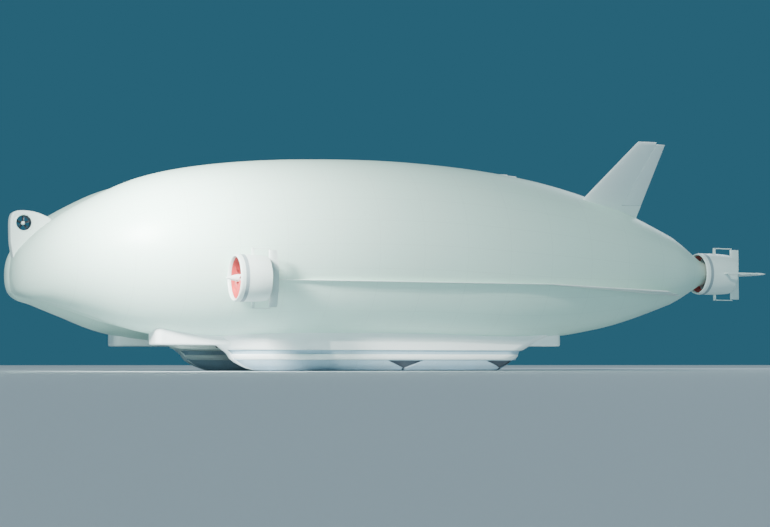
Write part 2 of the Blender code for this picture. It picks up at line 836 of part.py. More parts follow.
def crew_door():
    """The crew's door, on a barrel outside its front edge, bevelled to swing past its rear jamb."""
    face = DOOR_FACE
    rear = DOOR_FRONT + DOOR_LENGTH
    plan = ((DOOR_FRONT, face), (rear, face), (rear - DOOR_BEVEL, face + CABIN_WALL),
            (DOOR_FRONT, face + CABIN_WALL))
    rings = [[at(back, side, up) for back, side in plan] for up in (DOOR_BOTTOM, DOOR_TOP)]
    piece = loft("crew_door", rings, PAINTED_PANEL)
    leaf = box("leaf", at(DOOR_HINGE[0], DOOR_HINGE[1] - 0.002, DOOR_BOTTOM + 0.004),
               at(DOOR_FRONT + 0.03, face + 0.004, DOOR_TOP - 0.004))
    trim = box("trim", at(DOOR_FRONT - 0.02, face - 0.0008, 0.0), at(DOOR_FRONT, 0.0, 1.0))
    combine(leaf, trim)
    combine(piece, leaf, "UNION")
    hinge = turned("hinge", ((DOOR_BOTTOM + 0.004, DOOR_BARREL), (DOOR_TOP - 0.004, DOOR_BARREL)),
                   at(DOOR_HINGE[0], DOOR_HINGE[1], 0), 10, "Z")
    combine(piece, hinge, "UNION")
    set_origin(piece, at(DOOR_HINGE[0], DOOR_HINGE[1], (DOOR_BOTTOM + DOOR_TOP) / 2))
    return piece


def glazing():
    """One dark pane that runs round inside the flight deck's windows."""
    piece = flight_deck_body("flight_deck_glazing", CABIN_WALL + SEAT_GAP, CEILING, ROOM_REAR)
    combine(piece, flight_deck_body("room", CABIN_WALL + GLAZING_THICKNESS, DECK_TOP,
                                    ROOM_REAR + 0.10))
    band = box("band", at(2.3, -1, WINDOW_BOTTOM - 0.008), at(GLAZING_REAR, 1, WINDOW_TOP + 0.006))
    combine(piece, band, "INTERSECT")
    piece.data.materials.clear()
    piece.data.materials.append(GLAZING)
    return piece


def payload_module():
    """The hollow load bay behind the flight deck, open at its rear end."""
    wide = CABIN_HALF_WIDTH
    narrow = CABIN_HALF_WIDTH - CABIN_CHAMFER
    corner = CABIN_FLOOR + CABIN_CHAMFER
    outline = (
        (-narrow, CABIN_FLOOR), (narrow, CABIN_FLOOR), (wide, corner),
        (wide, CABIN_TOP), (-wide, CABIN_TOP), (-wide, corner),
    )
    rings = [[at(back, side, up) for side, up in outline] for back in (CABIN_FRONT, CABIN_REAR)]
    piece = loft("payload_module", rings, PAINTED_PANEL)
    inner = CABIN_HALF_WIDTH - CABIN_WALL
    bay = box("bay", at(CABIN_FRONT + CABIN_WALL, -inner, CABIN_FLOOR + FLOOR_THICKNESS),
              at(CABIN_REAR + 0.1, inner, CEILING))
    combine(piece, bay)
    for side in RAMP_KNUCKLES:
        knuckle = box("knuckle", at(CABIN_REAR - 0.01, side - 0.02, CABIN_FLOOR + 0.002),
                      at(RAMP_AXIS[0] - RAMP_HALF - RUNNING_GAP, side + 0.02, CABIN_FLOOR + 0.018))
        combine(piece, knuckle, "UNION")
    return seat_on_hull(piece)


def cargo_ramp():
    """The rear ramp, shut as parked, hinged along the bay's sill."""
    half = CABIN_HALF_WIDTH - 0.004
    piece = box("cargo_ramp",
                at(RAMP_AXIS[0] - RAMP_HALF, -half, RAMP_AXIS[1]),
                at(RAMP_AXIS[0] + RAMP_HALF, half, CEILING), PAINTED_PANEL)
    hinge = turned("hinge", ((-half, RAMP_HALF), (half, RAMP_HALF)),
                   at(RAMP_AXIS[0], 0, RAMP_AXIS[1]), 12, "Y")
    combine(piece, hinge, "UNION")
    set_origin(piece, at(RAMP_AXIS[0], 0, RAMP_AXIS[1]))
    return piece


def duct_profile(length):
    """Closed outline of a duct's wall, as distance back from its front rim and radius."""
    lip = (DUCT_OUTER - DUCT_INNER) / 2
    middle = DUCT_INNER + lip
    return (
        (0.0, middle),
        (lip * 0.6, DUCT_OUTER - lip * 0.25),
        (lip * 2.5, DUCT_OUTER),
        (length * 0.6, DUCT_OUTER),
        (length, DUCT_OUTER - lip * 1.1),
        (length, DUCT_OUTER - lip * 1.5),
        (length * 0.6, DUCT_INNER),
        (lip * 2.5, DUCT_INNER),
        (lip * 0.6, DUCT_INNER + lip * 0.25),
    )


def vane_arm(centre, length, direction, hinge_back):
    """A bracket from the duct's rim that holds one end of a vane."""
    across = Vector(direction)
    side = Vector((1, 0, 0)).cross(across)
    start = length * RISER_SHARE

    def bar(name, backs, outs):
        """A bar of the bracket's width between two places back and two distances out."""
        return loft(name, [
            [
                Vector(centre) + Vector((back, 0, 0)) + across * out + side * wide
                for out, wide in ((outs[0], -ARM_HALF), (outs[1], -ARM_HALF),
                                  (outs[1], ARM_HALF), (outs[0], ARM_HALF))
            ]
            for back in backs
        ])

    riser = bar("riser", (start, start + RISER_LENGTH),
                (DUCT_OUTER - ARM_BURIED, VANE_REACH + RISER_TOP))
    arm = bar("arm", (start + RISER_LENGTH / 2, hinge_back + RISER_LENGTH / 2),
              (VANE_REACH + ARM_UNDER, VANE_REACH + ARM_OVER))
    rings = []
    for out in (VANE_REACH + RUNNING_GAP, VANE_REACH + PIN_LENGTH):
        rings.append([
            Vector(centre) + Vector((hinge_back, 0, 0)) + across * out
            + (Vector((1, 0, 0)) * math.cos(turn) + side * math.sin(turn)) * PIN_RADIUS
            for turn in (2 * math.pi * step / 8 for step in range(8))
        ])
    combine(riser, arm, "UNION")
    combine(riser, loft("boss", rings), "UNION")
    return riser


def duct(name, place, length, arms):
    """A short duct round a propeller, with the brackets of the vanes behind it."""
    centre = at(*place)
    piece = turned(name, duct_profile(length), centre, DUCT_AROUND, "X", closed=True)
    for direction, hinge_back in arms:
        combine(piece, vane_arm(centre, length, direction, hinge_back), "UNION")
    piece.data.materials.clear()
    piece.data.materials.append(PAINTED_PANEL)
    return piece


def vane(name, place, direction, hinge_back, chord, sweep):
    """A movable vane in the slipstream, hinged along its front edge."""
    centre = at(*place)
    across = Vector(direction)
    side = Vector((1, 0, 0)).cross(across)
    half = VANE_THICKNESS / 2
    rings = []
    for out in (-VANE_REACH, -VANE_REACH * 0.35, VANE_REACH * 0.35, VANE_REACH):
        inner = abs(out) < VANE_REACH
        tail = chord if inner else chord - sweep
        outline = ((-0.008, -half * 0.6), (-0.012, 0.0), (-0.008, half * 0.6), (0.03, half),
                   (tail, 0.003), (tail, -0.003), (0.03, -half))
        rings.append([
            centre + Vector((hinge_back + back, 0, 0)) + across * out + side * wide
            for back, wide in outline
        ])
    piece = loft(name, rings, PAINTED_PANEL)
    set_origin(piece, centre + Vector((hinge_back, 0, 0)))
    return piece


def motor_pod(name, place, front, rear, radii, struts_back, reach):
    """A motor pod on the propeller's axis, held to the duct by four struts."""
    centre = at(*place)
    profile = [(front + share * (rear - front), radius) for share, radius in radii]
    piece = turned(name, profile, centre, 16, "X")
    for direction in ((0, 0, 1), (0, 0, -1), (0, 1, 0), (0, -1, 0)):
        across = Vector(direction)
        side = Vector((1, 0, 0)).cross(across)
        rings = []
        for out in (0.03, reach):
            rings.append([
                centre + Vector((struts_back + back, 0, 0)) + across * out + side * wide
                for back, wide in ((-0.03, 0.0), (-0.012, 0.008), (0.03, 0.002),
                                   (0.03, -0.002), (-0.012, -0.008))
            ])
        combine(piece, loft("strut", rings), "UNION")
    piece.data.materials.clear()
    piece.data.materials.append(DARK_METAL)
    return piece


def propeller(name, centre, spinner, blade_back, radius, hub, blades=BLADES, axis="X", chord=0.075):
    """A bladed rotor: a turned spinner and twisted blades, joined into one solid."""
    piece = turned(name, spinner, (0, 0, 0), 14, "X")
    rows = ((hub * 0.6, 58, 0.8), (radius * 0.55, 36, 1.0), (radius, 20, 0.62))
    for number in range(blades):
        rings = []
        for out, pitch, wide in rows:
            turn = math.radians(pitch)
            half = chord * wide / 2
            ring = []
            for along, thick in ((-half, 0.0), (0.0, 0.0045), (half, 0.0), (0.0, -0.0045)):
                back = along * math.sin(turn) + thick * math.cos(turn)
                across = along * math.cos(turn) - thick * math.sin(turn)
                ring.append(Vector((blade_back + back, across, out)))
            rings.append(ring)
        blade = loft("blade", rings)
        turn_into_place(blade, Matrix.Rotation(2 * math.pi * number / blades, 4, "X"))
        combine(piece, blade, "UNION")
    if axis == "Y":
        turn_into_place(piece, Matrix.Rotation(math.radians(90), 4, "Z"))
    piece.data.materials.clear()
    piece.data.materials.append(BLADE_PAINT)
    piece.location = centre
    return piece


FORE_FAN_BACK = 0.10
FORE_POD_FRONT = 0.135
FORE_VANE_HINGE = 0.515
STERN_POD_FRONT = 10.9003 - STERN_DUCT[0]
STERN_POD_REAR = STERN_POD_FRONT + 0.12
STERN_FAN_BACK = STERN_POD_REAR + 0.045
STERN_VERTICAL_HINGE = 0.645
STERN_LEVEL_HINGE = 0.855


def fore_propulsor(side_name, side):
    """One of the pair on the hull's sides: duct, pod, propeller, vane and pylon."""
    place = (FORE_DUCT[0], side * FORE_DUCT[1], FORE_DUCT[2])
    arms = (((0, 0, 1), FORE_VANE_HINGE), ((0, 0, -1), FORE_VANE_HINGE))
    duct(f"fore_duct_{side_name}", place, FORE_DUCT_LENGTH, arms)
    pod_shape = ((0.0, 0.055), (0.25, 0.075), (0.65, 0.070), (0.92, 0.035), (1.0, 0.012))
    motor_pod(f"fore_pod_{side_name}", place, FORE_POD_FRONT, 0.42, pod_shape,
              0.24, STRUT_REACH)
    spinner = ((-0.22, 0.008), (-0.16, 0.022), (-0.05, 0.052), (0.0, 0.058),
               (FORE_POD_FRONT - FORE_FAN_BACK - RUNNING_GAP, 0.055))
    centre = at(*place) + Vector((FORE_FAN_BACK, 0, 0))
    propeller(f"fore_fan_{side_name}", centre, spinner, 0.0, BLADE_RADIUS, HUB_RADIUS)
    vane(f"fore_vane_{side_name}", place, (0, 0, 1), FORE_VANE_HINGE, 0.14, 0.03)
    pylon(side_name, side, place)


def pylon(side_name, side, place):
    """The short strut that carries a fore duct off the hull's side."""
    rings = [
        [at(place[0] + back, side * across, place[2] + up) for back, up in PYLON_OUTLINE]
        for across in PYLON_REACH
    ]
    piece = loft(f"fore_pylon_{side_name}", rings, PAINTED_PANEL)
    grown = [(back, radius + (SEAT_GAP if radius > 0.31 else 0)) for back, radius
             in duct_profile(FORE_DUCT_LENGTH)]
    profile = [(-0.05, 0.1)] + [(0.0, grown[0][1])] + grown[1:5] + [(FORE_DUCT_LENGTH + 0.05, 0.1)]
    cutter = turned("duct_space", profile, at(*place), DUCT_AROUND, "X")
    combine(piece, cutter)
    seat_on_hull(piece)


def stern_propulsor(side_name, side):
    """One of the pair on the lobes' tails, with a crossed pair of vanes behind it."""
    place = (STERN_DUCT[0], side * STERN_DUCT[1], STERN_DUCT[2])
    arms = (
        ((0, 0, 1), STERN_VERTICAL_HINGE), ((0, 0, -1), STERN_VERTICAL_HINGE),
        ((0, 1, 0), STERN_LEVEL_HINGE), ((0, -1, 0), STERN_LEVEL_HINGE),
    )
    duct(f"stern_duct_{side_name}", place, STERN_DUCT_LENGTH, arms)
    pod_shape = ((0.0, 0.150), (0.5, 0.115), (1.0, 0.075))
    motor_pod(f"stern_pod_{side_name}", place, STERN_POD_FRONT, STERN_POD_REAR, pod_shape,
              STERN_POD_FRONT + 0.05, STRUT_REACH)
    spinner = ((STERN_POD_REAR - STERN_FAN_BACK + RUNNING_GAP, 0.072), (0.03, 0.062),
               (0.12, 0.036), (0.19, 0.008))
    centre = at(*place) + Vector((STERN_FAN_BACK, 0, 0))
    propeller(f"stern_fan_{side_name}", centre, spinner, 0.0, BLADE_RADIUS, HUB_RADIUS)
    vane(f"stern_rudder_vane_{side_name}", place, (0, 0, 1), STERN_VERTICAL_HINGE, 0.15, 0.0)
    vane(f"stern_level_vane_{side_name}", place, (0, 1, 0), STERN_LEVEL_HINGE,
         LENGTH - STERN_DUCT[0] - STERN_LEVEL_HINGE, 0.14)


def bow_housing():
    """The upright housing of the bow thruster, with its crosswise tunnel."""
    corner = [
        (BOW_BROW[0] - BOW_BROW_RADIUS * math.cos(turn), BOW_BROW[1] + BOW_BROW_RADIUS * math.sin(turn))
        for turn in (math.radians(step * 22.5) for step in range(5))
    ]
    outline = [*BOW_BELOW, *corner, *BOW_BEHIND]
    divide = BOW_BEHIND[0][0]
    rings = []
    for side, inset in ((-1.0, BOW_TAPER), (-0.75, 0.0), (0.75, 0.0), (1.0, BOW_TAPER)):
        rings.append([
            at(back + (inset if back < divide else -inset), side * BOW_HALF_WIDTH, up - inset)
            for back, up in outline
        ])
    piece = loft("bow_housing", rings, PAINTED_PANEL)
    tunnel = turned("tunnel", ((-0.2, BOW_HOLE), (0.2, BOW_HOLE)), at(*BOW_CENTRE), 20, "Y")
    combine(piece, tunnel)
    return seat_on_hull(piece)


def bow_stator():
    """The small motor in the bow tunnel on its three struts."""
    centre = at(*BOW_CENTRE)
    piece = turned("bow_motor", ((0.012, 0.030), (0.070, 0.026), (0.085, 0.012)), centre, 12, "Y")
    for number in range(3):
        angle = 2 * math.pi * number / 3 + math.pi / 2
        across = Vector((math.cos(angle), 0, math.sin(angle)))
        side = Vector((0, 1, 0)).cross(across)
        rings = []
        for out in (0.01, BOW_HOLE - 0.0016):
            rings.append([
                centre + across * out + side * wide + Vector((0, deep, 0))
                for deep, wide in ((0.03, -0.004), (0.06, -0.004), (0.06, 0.004), (0.03, 0.004))
            ])
        combine(piece, loft("strut", rings), "UNION")
    piece.data.materials.clear()
    piece.data.materials.append(DARK_METAL)
    return piece


def bow_fan():
    """The bow thruster's small propeller."""
    spinner = ((-0.055, 0.008), (-0.045, 0.022), (-0.03, 0.030), (0.012 - RUNNING_GAP, 0.030))
    return propeller("bow_fan", at(*BOW_CENTRE), spinner, -0.012, 0.104, 0.03,
                     blades=5, axis="Y", chord=0.034)


envelope()
for word, sign in SIDES:
    strake(word, sign)
    stabiliser(word, sign)
    elevator(word, sign)
    fin(word, sign)
    rudder(word, sign)
    skid_deck(word, sign)
    skid_skirt(word, sign)
    fore_propulsor(word, sign)
    stern_propulsor(word, sign)
flight_deck()
glazing()
crew_door()
payload_module()
cargo_ramp()
bow_housing()
bow_stator()
bow_fan()
bpy.data.objects.remove(HULL_CUTTER, do_unlink=True)

for made in bpy.context.scene.objects:
    made.data.shade_smooth()
    made.data.set_sharp_from_angle(angle=math.radians(32))
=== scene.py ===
# %% [markdown]
# # A hybrid airship, one tenth of its size
# This script puts a smooth, painted skin on the plain CAD solids of a hybrid airship. The real craft
# is partly held up by gas and partly by the lift of its wide hull, and it parks on two long skids.
# Every piece is written as a formula over a whole grid of points, so that a shape can be read from
# a few rows of numbers and changed by changing them.

import math

import bmesh
import bpy
import numpy as np
from mathutils import Matrix, Vector


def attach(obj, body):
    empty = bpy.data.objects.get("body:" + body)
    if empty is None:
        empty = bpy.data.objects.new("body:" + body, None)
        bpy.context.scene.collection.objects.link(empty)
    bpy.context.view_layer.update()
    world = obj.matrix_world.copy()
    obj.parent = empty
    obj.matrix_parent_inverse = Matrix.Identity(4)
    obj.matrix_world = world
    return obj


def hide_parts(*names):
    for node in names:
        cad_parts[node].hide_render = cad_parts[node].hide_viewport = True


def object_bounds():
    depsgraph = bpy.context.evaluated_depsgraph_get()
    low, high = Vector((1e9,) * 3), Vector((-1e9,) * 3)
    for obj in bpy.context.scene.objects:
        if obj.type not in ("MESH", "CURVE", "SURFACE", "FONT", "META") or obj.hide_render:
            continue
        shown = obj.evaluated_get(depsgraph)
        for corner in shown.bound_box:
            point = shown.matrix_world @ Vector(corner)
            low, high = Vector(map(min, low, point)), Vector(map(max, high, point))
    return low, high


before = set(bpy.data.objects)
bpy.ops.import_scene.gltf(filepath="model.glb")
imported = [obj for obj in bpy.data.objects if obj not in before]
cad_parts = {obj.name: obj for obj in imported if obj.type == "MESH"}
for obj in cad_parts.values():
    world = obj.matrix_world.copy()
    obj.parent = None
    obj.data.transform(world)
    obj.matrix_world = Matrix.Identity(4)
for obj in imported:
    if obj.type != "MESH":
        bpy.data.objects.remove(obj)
cad_low, cad_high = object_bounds()
# The plain materials that come with the CAD are thrown away
for plain in list(bpy.data.materials):
    bpy.data.materials.remove(plain)
# Metres from the nose to the origin
MIDDLE = round(-cad_low[0], 4)
SIDES = (("port", -1), ("starboard", 1))
AFT, UP = (1, 0, 0), (0, 0, 1)

# %% [markdown]
# ## Tools for grids
# Nearly all of the craft is a stack of rings: the hull is circles that grow and shrink, a fin is one
# wing section after another, a duct is an outline turned about a line. So a few small tools do most of
# the work. The first reads a short table as a smooth curve. The second lays quads over a stack of
# rings. The others make stacks that occur often, such as a box, a turned shape and a wing.


# %% Read a table as a smooth curve
def curve_through(table, places):
    """Values of a table at places between its rows.

    Each pair of rows is joined by a cubic. At a row the curve has the slope of the straight line
    between the row before and the row after, so neighbouring cubics meet without a kink.
    """
    table = np.asarray(table, float)
    key, rows = table[:, 0], table[:, 1:]
    slopes = np.empty_like(rows)
    slopes[1:-1] = (rows[2:] - rows[:-2]) / (key[2:] - key[:-2])[:, None]
    slopes[0] = (rows[1] - rows[0]) / (key[1] - key[0])
    slopes[-1] = (rows[-1] - rows[-2]) / (key[-1] - key[-2])
    low = np.clip(np.searchsorted(key, places, side="right") - 1, 0, len(key) - 2)
    span = (key[low + 1] - key[low])[:, None]
    s = (np.asarray(places)[:, None] - key[low][:, None]) / span
    return (
        rows[low] * (1 + 2 * s) * (1 - s) ** 2
        + rows[low + 1] * s**2 * (3 - 2 * s)
        + slopes[low] * span * s * (1 - s) ** 2
        - slopes[low + 1] * span * s**2 * (1 - s)
    )


# %% Lay quads over a stack of rings
def grid(rings, along=None, around=None, ring=False):
    """Points, faces and UV corners of a closed skin over rings[row, column] of points.

    The face at a row and column joins that point, the one beside it, and the two of the next row.
    The last column meets the first. The two end rings are closed with one flat face each, or, with
    ring=True, the last row meets the first as on a tyre. along and around are the UV values of the
    rows and columns, in metres, with one more than there are columns.
    """
    rings = np.asarray(rings, float)
    rows, columns = rings.shape[:2]
    last = rows if ring else rows - 1
    u = np.linspace(0, 1, last + 1) if along is None else np.asarray(along, float)
    v = np.linspace(0, 1, columns + 1) if around is None else np.asarray(around, float)
    index = np.arange(rows * columns).reshape(rows, columns)
    beside = np.roll(index, -1, axis=1)
    after = (np.arange(last) + 1) % rows
    quads = np.stack([index[:last], beside[:last], beside[after], index[after]], axis=-1)
    corner_u = np.stack([u[:last], u[:last], u[1:], u[1:]], axis=-1)
    corner_v = np.stack([v[:-1], v[1:], v[1:], v[:-1]], axis=-1)
    uv = np.empty((last, columns, 4, 2))
    uv[..., 0] = corner_u[:, None, :]
    uv[..., 1] = corner_v[None, :, :]
    faces = quads.reshape(-1, 4).tolist()
    uv = uv.reshape(-1, 2)
    if not ring:
        faces += [index[0].tolist(), index[-1].tolist()]
        ends = [np.stack([np.full(columns, end), v[:-1]], axis=-1) for end in (u[0], u[-1])]
        uv = np.concatenate([uv, *ends])
    return rings.reshape(-1, 3), faces, uv


def turned(profile, centre, around=48, axis="X", ring=False):
    """A profile of (along, radius) pairs turned about a line through centre.

    Point (row, column) stands at the row's distance along the line, and at the row's radius in the
    direction of the column's angle.
    """
    along, radius = np.asarray(profile, float).T
    angle = np.linspace(0, 2 * np.pi, around, endpoint=False)
    across = radius[:, None] * np.cos(angle)
    up = radius[:, None] * np.sin(angle)
    length = np.repeat(along[:, None], around, axis=1)
    order = {"X": (length, across, up), "Y": (across, length, up), "Z": (across, up, length)}
    steps = np.hypot(np.diff(along), np.diff(radius))
    u = np.concatenate([[0], np.cumsum(steps)])
    if ring:
        u = np.append(u, u[-1] + np.hypot(along[0] - along[-1], radius[0] - radius[-1]))
    v = np.linspace(0, 2 * np.pi * radius.max(), around + 1)
    return grid(np.stack(order[axis], axis=-1) + np.asarray(centre, float), u, v, ring)


def block(low, high):
    """A straight box between two corners, as a grid of two rings."""
    (x0, y0, z0), (x1, y1, z1) = low, high
    ends = [[(x, y0, z0), (x, y1, z0), (x, y1, z1), (x, y0, z1)] for x in (x0, x1)]
    return grid(ends, along=(x0, x1), around=np.cumsum([0, y1 - y0, z1 - z0, y1 - y0, z1 - z0]))


def rounded_rectangle(half_long, half_wide, radius, corner=8):
    """Outline of a flat rectangle with round corners: four quarter circles, one after another."""
    starts = np.arange(4)[:, None] * np.pi / 2
    turn = starts + np.linspace(0, np.pi / 2, corner)
    ways = np.array(((1, 1), (-1, 1), (-1, -1), (1, -1)))
    middle = ways * (half_long - radius, half_wide - radius)
    arcs = middle[:, None, :] + radius * np.stack([np.cos(turn), np.sin(turn)], axis=-1)
    return arcs.reshape(-1, 2)


def wing_half(s):
    """Half thickness of a wing section at a share of its chord, for a thickness of 1."""
    return 5 * (0.2969 * np.sqrt(s) - 0.126 * s - 0.3516 * s**2 + 0.2843 * s**3 - 0.1015 * s**4)


def wing_panel(out, front, chord, thickness, per_side=14):
    """Wing sections one beyond another along local Z, with local X from front edge to rear.

    A section is the upper half from front to rear and then the lower half back again. Its points
    crowd towards the front, where it bends most, and the rear edge keeps a twelfth of the thickness.
    """
    out = np.asarray(out, float)[:, None]
    front, chord, thickness = (np.broadcast_to(np.reshape(v, (-1, 1)), out.shape)
                               for v in (front, chord, thickness))
    s = np.linspace(0, 1, per_side) ** 1.6
    half = np.where(s > 0.5, np.maximum(wing_half(s), 1 / 12), wing_half(s))
    x = front + chord * np.concatenate([s, s[:0:-1]])
    y = thickness * np.concatenate([half, -half[:0:-1]])
    z = np.repeat(out, x.shape[1], axis=1)
    return grid(np.stack([x, y, z], axis=-1), along=out[:, 0],
                around=np.linspace(0, 2 * chord.max(), x.shape[1] + 1))


def placed(part, matrix):
    """A part with its points carried by a 4 x 4 matrix."""
    points, faces, uv = part
    m = np.array(matrix)
    return points @ m[:3, :3].T + m[:3, 3], faces, uv


def frame_of(origin, along, up):
    """A matrix whose local X runs along the first direction and local Z near the second."""
    first = Vector(along).normalized()
    second = Vector(up).cross(first).normalized()
    third = first.cross(second)
    turn = Matrix((first, second, third)).transposed().to_4x4()
    return Matrix.Translation(Vector(origin)) @ turn


def at(back, side, up):
    """World metres of a place that is measured back from the nose."""
    return np.array((back - MIDDLE, side, up), float)


# %% [markdown]
# ## From grids to objects
# A grid becomes an object in three steps. Its parts are joined and any points that coincide are
# merged. Then the faces are pointed outwards. Last, the object is hung on the CAD body that it moves
# with. Holes, such as windows, are cut afterwards with closed shapes.


# %% Turn finished grids into an object
def outward(mesh):
    """Merge points within 5 micrometres of each other and point all faces outwards."""
    work = bmesh.new()
    work.from_mesh(mesh)
    bmesh.ops.remove_doubles(work, verts=work.verts, dist=0.000005)
    bmesh.ops.recalc_face_normals(work, faces=work.faces)
    work.to_mesh(mesh)
    work.free()


def joined(name, parts, masks=None):
    """One mesh made of several parts, with its UVs and its masks."""
    shift, points, faces, uv = 0, [], [], []
    for part_points, part_faces, part_uv in parts:
        points.append(part_points)
        faces += [[corner + shift for corner in face] for face in part_faces]
        uv.append(part_uv)
        shift += len(part_points)
    mesh = bpy.data.meshes.new(name)
    mesh.from_pydata(np.concatenate(points).tolist(), [], faces)
    layer = mesh.uv_layers.new(name="Surface")
    layer.uv.foreach_set("vector", np.concatenate(uv).astype(np.float32).ravel())
    for mask, values in (masks or {}).items():
        made = mesh.attributes.new(mask, "FLOAT", "POINT")
        made.data.foreach_set("value", np.asarray(values, np.float32))
    outward(mesh)
    return mesh


def cut_away(mesh, cutters):
    """The mesh less each cutter. Both are cut into triangles first, because cuts need flat faces."""
    holder = bpy.data.objects.new("to_cut", mesh)
    bpy.context.scene.collection.objects.link(holder)
    for part in cutters:
        tool = bpy.data.objects.new("cutter", joined("cutter", [part]))
        bpy.context.scene.collection.objects.link(tool)
        for shape in (holder.data, tool.data):
            work = bmesh.new()
            work.from_mesh(shape)
            bmesh.ops.triangulate(work, faces=work.faces)
            work.to_mesh(shape)
            work.free()
        change = holder.modifiers.new("cut", "BOOLEAN")
        change.object = tool
        graph = bpy.context.evaluated_depsgraph_get()
        result = bpy.data.meshes.new_from_object(holder.evaluated_get(graph))
        holder.modifiers.clear()
        holder.data = result
        bpy.data.objects.remove(tool)
    bpy.data.objects.remove(holder)
    return result


def piece(name, parts, paint, body="root", stands_for=(), masks=None, sharp=40, holes=()):
    """Make an object from parts in world metres, paint it, and hang it on its body."""
    mesh = joined(name, parts, masks)
    if holes:
        mesh = cut_away(mesh, holes)
        mesh.name = name
        mesh.materials.clear()
    mesh.shade_smooth()
    mesh.set_sharp_from_angle(angle=math.radians(sharp))
    mesh.materials.append(paint)
    made = bpy.data.objects.new(name, mesh)
    bpy.context.scene.collection.objects.link(made)
    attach(made, body)
    if stands_for:
        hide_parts(*stands_for)
    return made


def rounded(made, width, segments=3):
    """Soften a piece's hard edges with a live bevel."""
    change = made.modifiers.new("soft_edges", "BEVEL")
    change.width = width
    change.segments = segments
    change.limit_method = "ANGLE"
    change.angle_limit = math.radians(35)
    return made


# %% [markdown]
# ## Shared surface effects
# A finish is a small network of nodes. The effects that several finishes share are node groups. Each
# group gives a mask or a height, and the material decides what to do with it: darken the colour, or
# raise the surface. They read the mesh's own UVs or its place in space, so nothing depends on where
# the camera stands.


# %% Small helpers for shader nodes
def shader_group(name, inputs, outputs):
    """A new node group with number sockets, and its two end nodes."""
    made = bpy.data.node_groups.new(name, "ShaderNodeTree")
    for label, value in inputs:
        made.interface.new_socket(label, in_out="INPUT", socket_type="NodeSocketFloat").default_value = value
    for label in outputs:
        made.interface.new_socket(label, in_out="OUTPUT", socket_type="NodeSocketFloat")
    return made, made.nodes.new("NodeGroupInput").outputs, made.nodes.new("NodeGroupOutput").inputs


def node(tree, kind, settings=None, **inputs):
    """A node with its settings made and its inputs set to values or joined to sockets."""
    made = tree.nodes.new(kind)
    for key, value in (settings or {}).items():
        setattr(made, key, value)
    for key, value in inputs.items():
        numbered = key[0] == "i" and key[1:].isdigit()
        socket = made.inputs[int(key[1:])] if numbered else made.inputs[key.replace("_", " ")]
        if isinstance(value, bpy.types.NodeSocket):
            tree.links.new(value, socket)
        else:
            socket.default_value = value
    return made


def math_node(tree, operation, first, second=0.0, clamp=False):
    """One step of arithmetic between two values or sockets."""
    return node(tree, "ShaderNodeMath", {"operation": operation, "use_clamp": clamp},
                i0=first, i1=second).outputs[0]


def place_in_space(tree):
    """The socket that gives a point's place on the object, in metres."""
    return tree.nodes.new("ShaderNodeTexCoord").outputs["Object"]


# %% Shared effect: thin lines where panels or strips of cloth meet
def seam_lines():
    """Mask of thin lines: 1 where the value, counted in steps of Spacing, is nearly whole.

    The distance to the nearest line is half a step less how far the remainder is from the middle.
    """
    group, given, result = shader_group(
        "SeamLines", [("Value", 0.0), ("Spacing", 1.0), ("Width", 0.01)], ["Line"])
    steps = math_node(group, "DIVIDE", given["Value"], given["Spacing"])
    part = math_node(group, "FRACT", steps)
    off_middle = math_node(group, "ABSOLUTE", math_node(group, "SUBTRACT", part, 0.5))
    nearness = math_node(group, "SUBTRACT", 0.5, off_middle)
    distance = math_node(group, "MULTIPLY", nearness, given["Spacing"])
    share = math_node(group, "DIVIDE", distance, given["Width"])
    group.links.new(math_node(group, "SUBTRACT", 1.0, share, clamp=True), result["Line"])
    return group


# %% Shared effect: slow stains and fine grain
def weathering():
    """Mask of slow cloudy stains and height of fine grain, both read from the place in space."""
    group, given, result = shader_group(
        "Weathering", [("Cloud Scale", 0.8), ("Grain Scale", 60.0)], ["Cloud", "Grain"])
    place = place_in_space(group)
    cloud = node(group, "ShaderNodeTexNoise", None, Vector=place,
                 Scale=given["Cloud Scale"], Detail=3.0, Roughness=0.55)
    grain = node(group, "ShaderNodeTexNoise", None, Vector=place,
                 Scale=given["Grain Scale"], Detail=2.0, Roughness=0.6)
    group.links.new(cloud.outputs["Fac"], result["Cloud"])
    group.links.new(grain.outputs["Fac"], result["Grain"])
    return group


# %% Shared effect: threads of coated cloth
def woven_threads():
    """Height of a plain weave: one sine wave along each UV direction, multiplied together.

    Pitch is the distance between neighbouring threads, in the UV's metres.
    """
    group, given, result = shader_group("WovenThreads", [("Pitch", 0.006)], ["Height"])
    uv = node(group, "ShaderNodeUVMap", {"uv_map": "Surface"}).outputs["UV"]
    axes = node(group, "ShaderNodeSeparateXYZ", None, Vector=uv)
    waves = []
    for direction in (0, 1):
        threads = math_node(group, "DIVIDE", axes.outputs[direction], given["Pitch"])
        waves.append(math_node(group, "SINE", math_node(group, "MULTIPLY", threads, math.tau)))
    group.links.new(math_node(group, "MULTIPLY", *waves), result["Height"])
    return group


# %% Shared effect: dust from the ground
def ground_dust():
    """Mask of dust: 1 at the floor, falling evenly to 0 at Reach, and broken up by noise."""
    group, given, result = shader_group("GroundDust", [("Reach", 0.3)], ["Dust"])
    place = place_in_space(group)
    up = node(group, "ShaderNodeSeparateXYZ", None, Vector=place).outputs["Z"]
    fall = math_node(group, "SUBTRACT", 1.0, math_node(group, "DIVIDE", up, given["Reach"]), clamp=True)
    patches = node(group, "ShaderNodeTexNoise", None, Vector=place, Scale=5.0, Detail=4.0)
    group.links.new(math_node(group, "MULTIPLY", fall, patches.outputs["Fac"]), result["Dust"])
    return group


SEAMS, WEATHER, THREADS, DUST = seam_lines(), weathering(), woven_threads(), ground_dust()
print("shared effects:", ", ".join(group.name for group in (SEAMS, WEATHER, THREADS, DUST)))

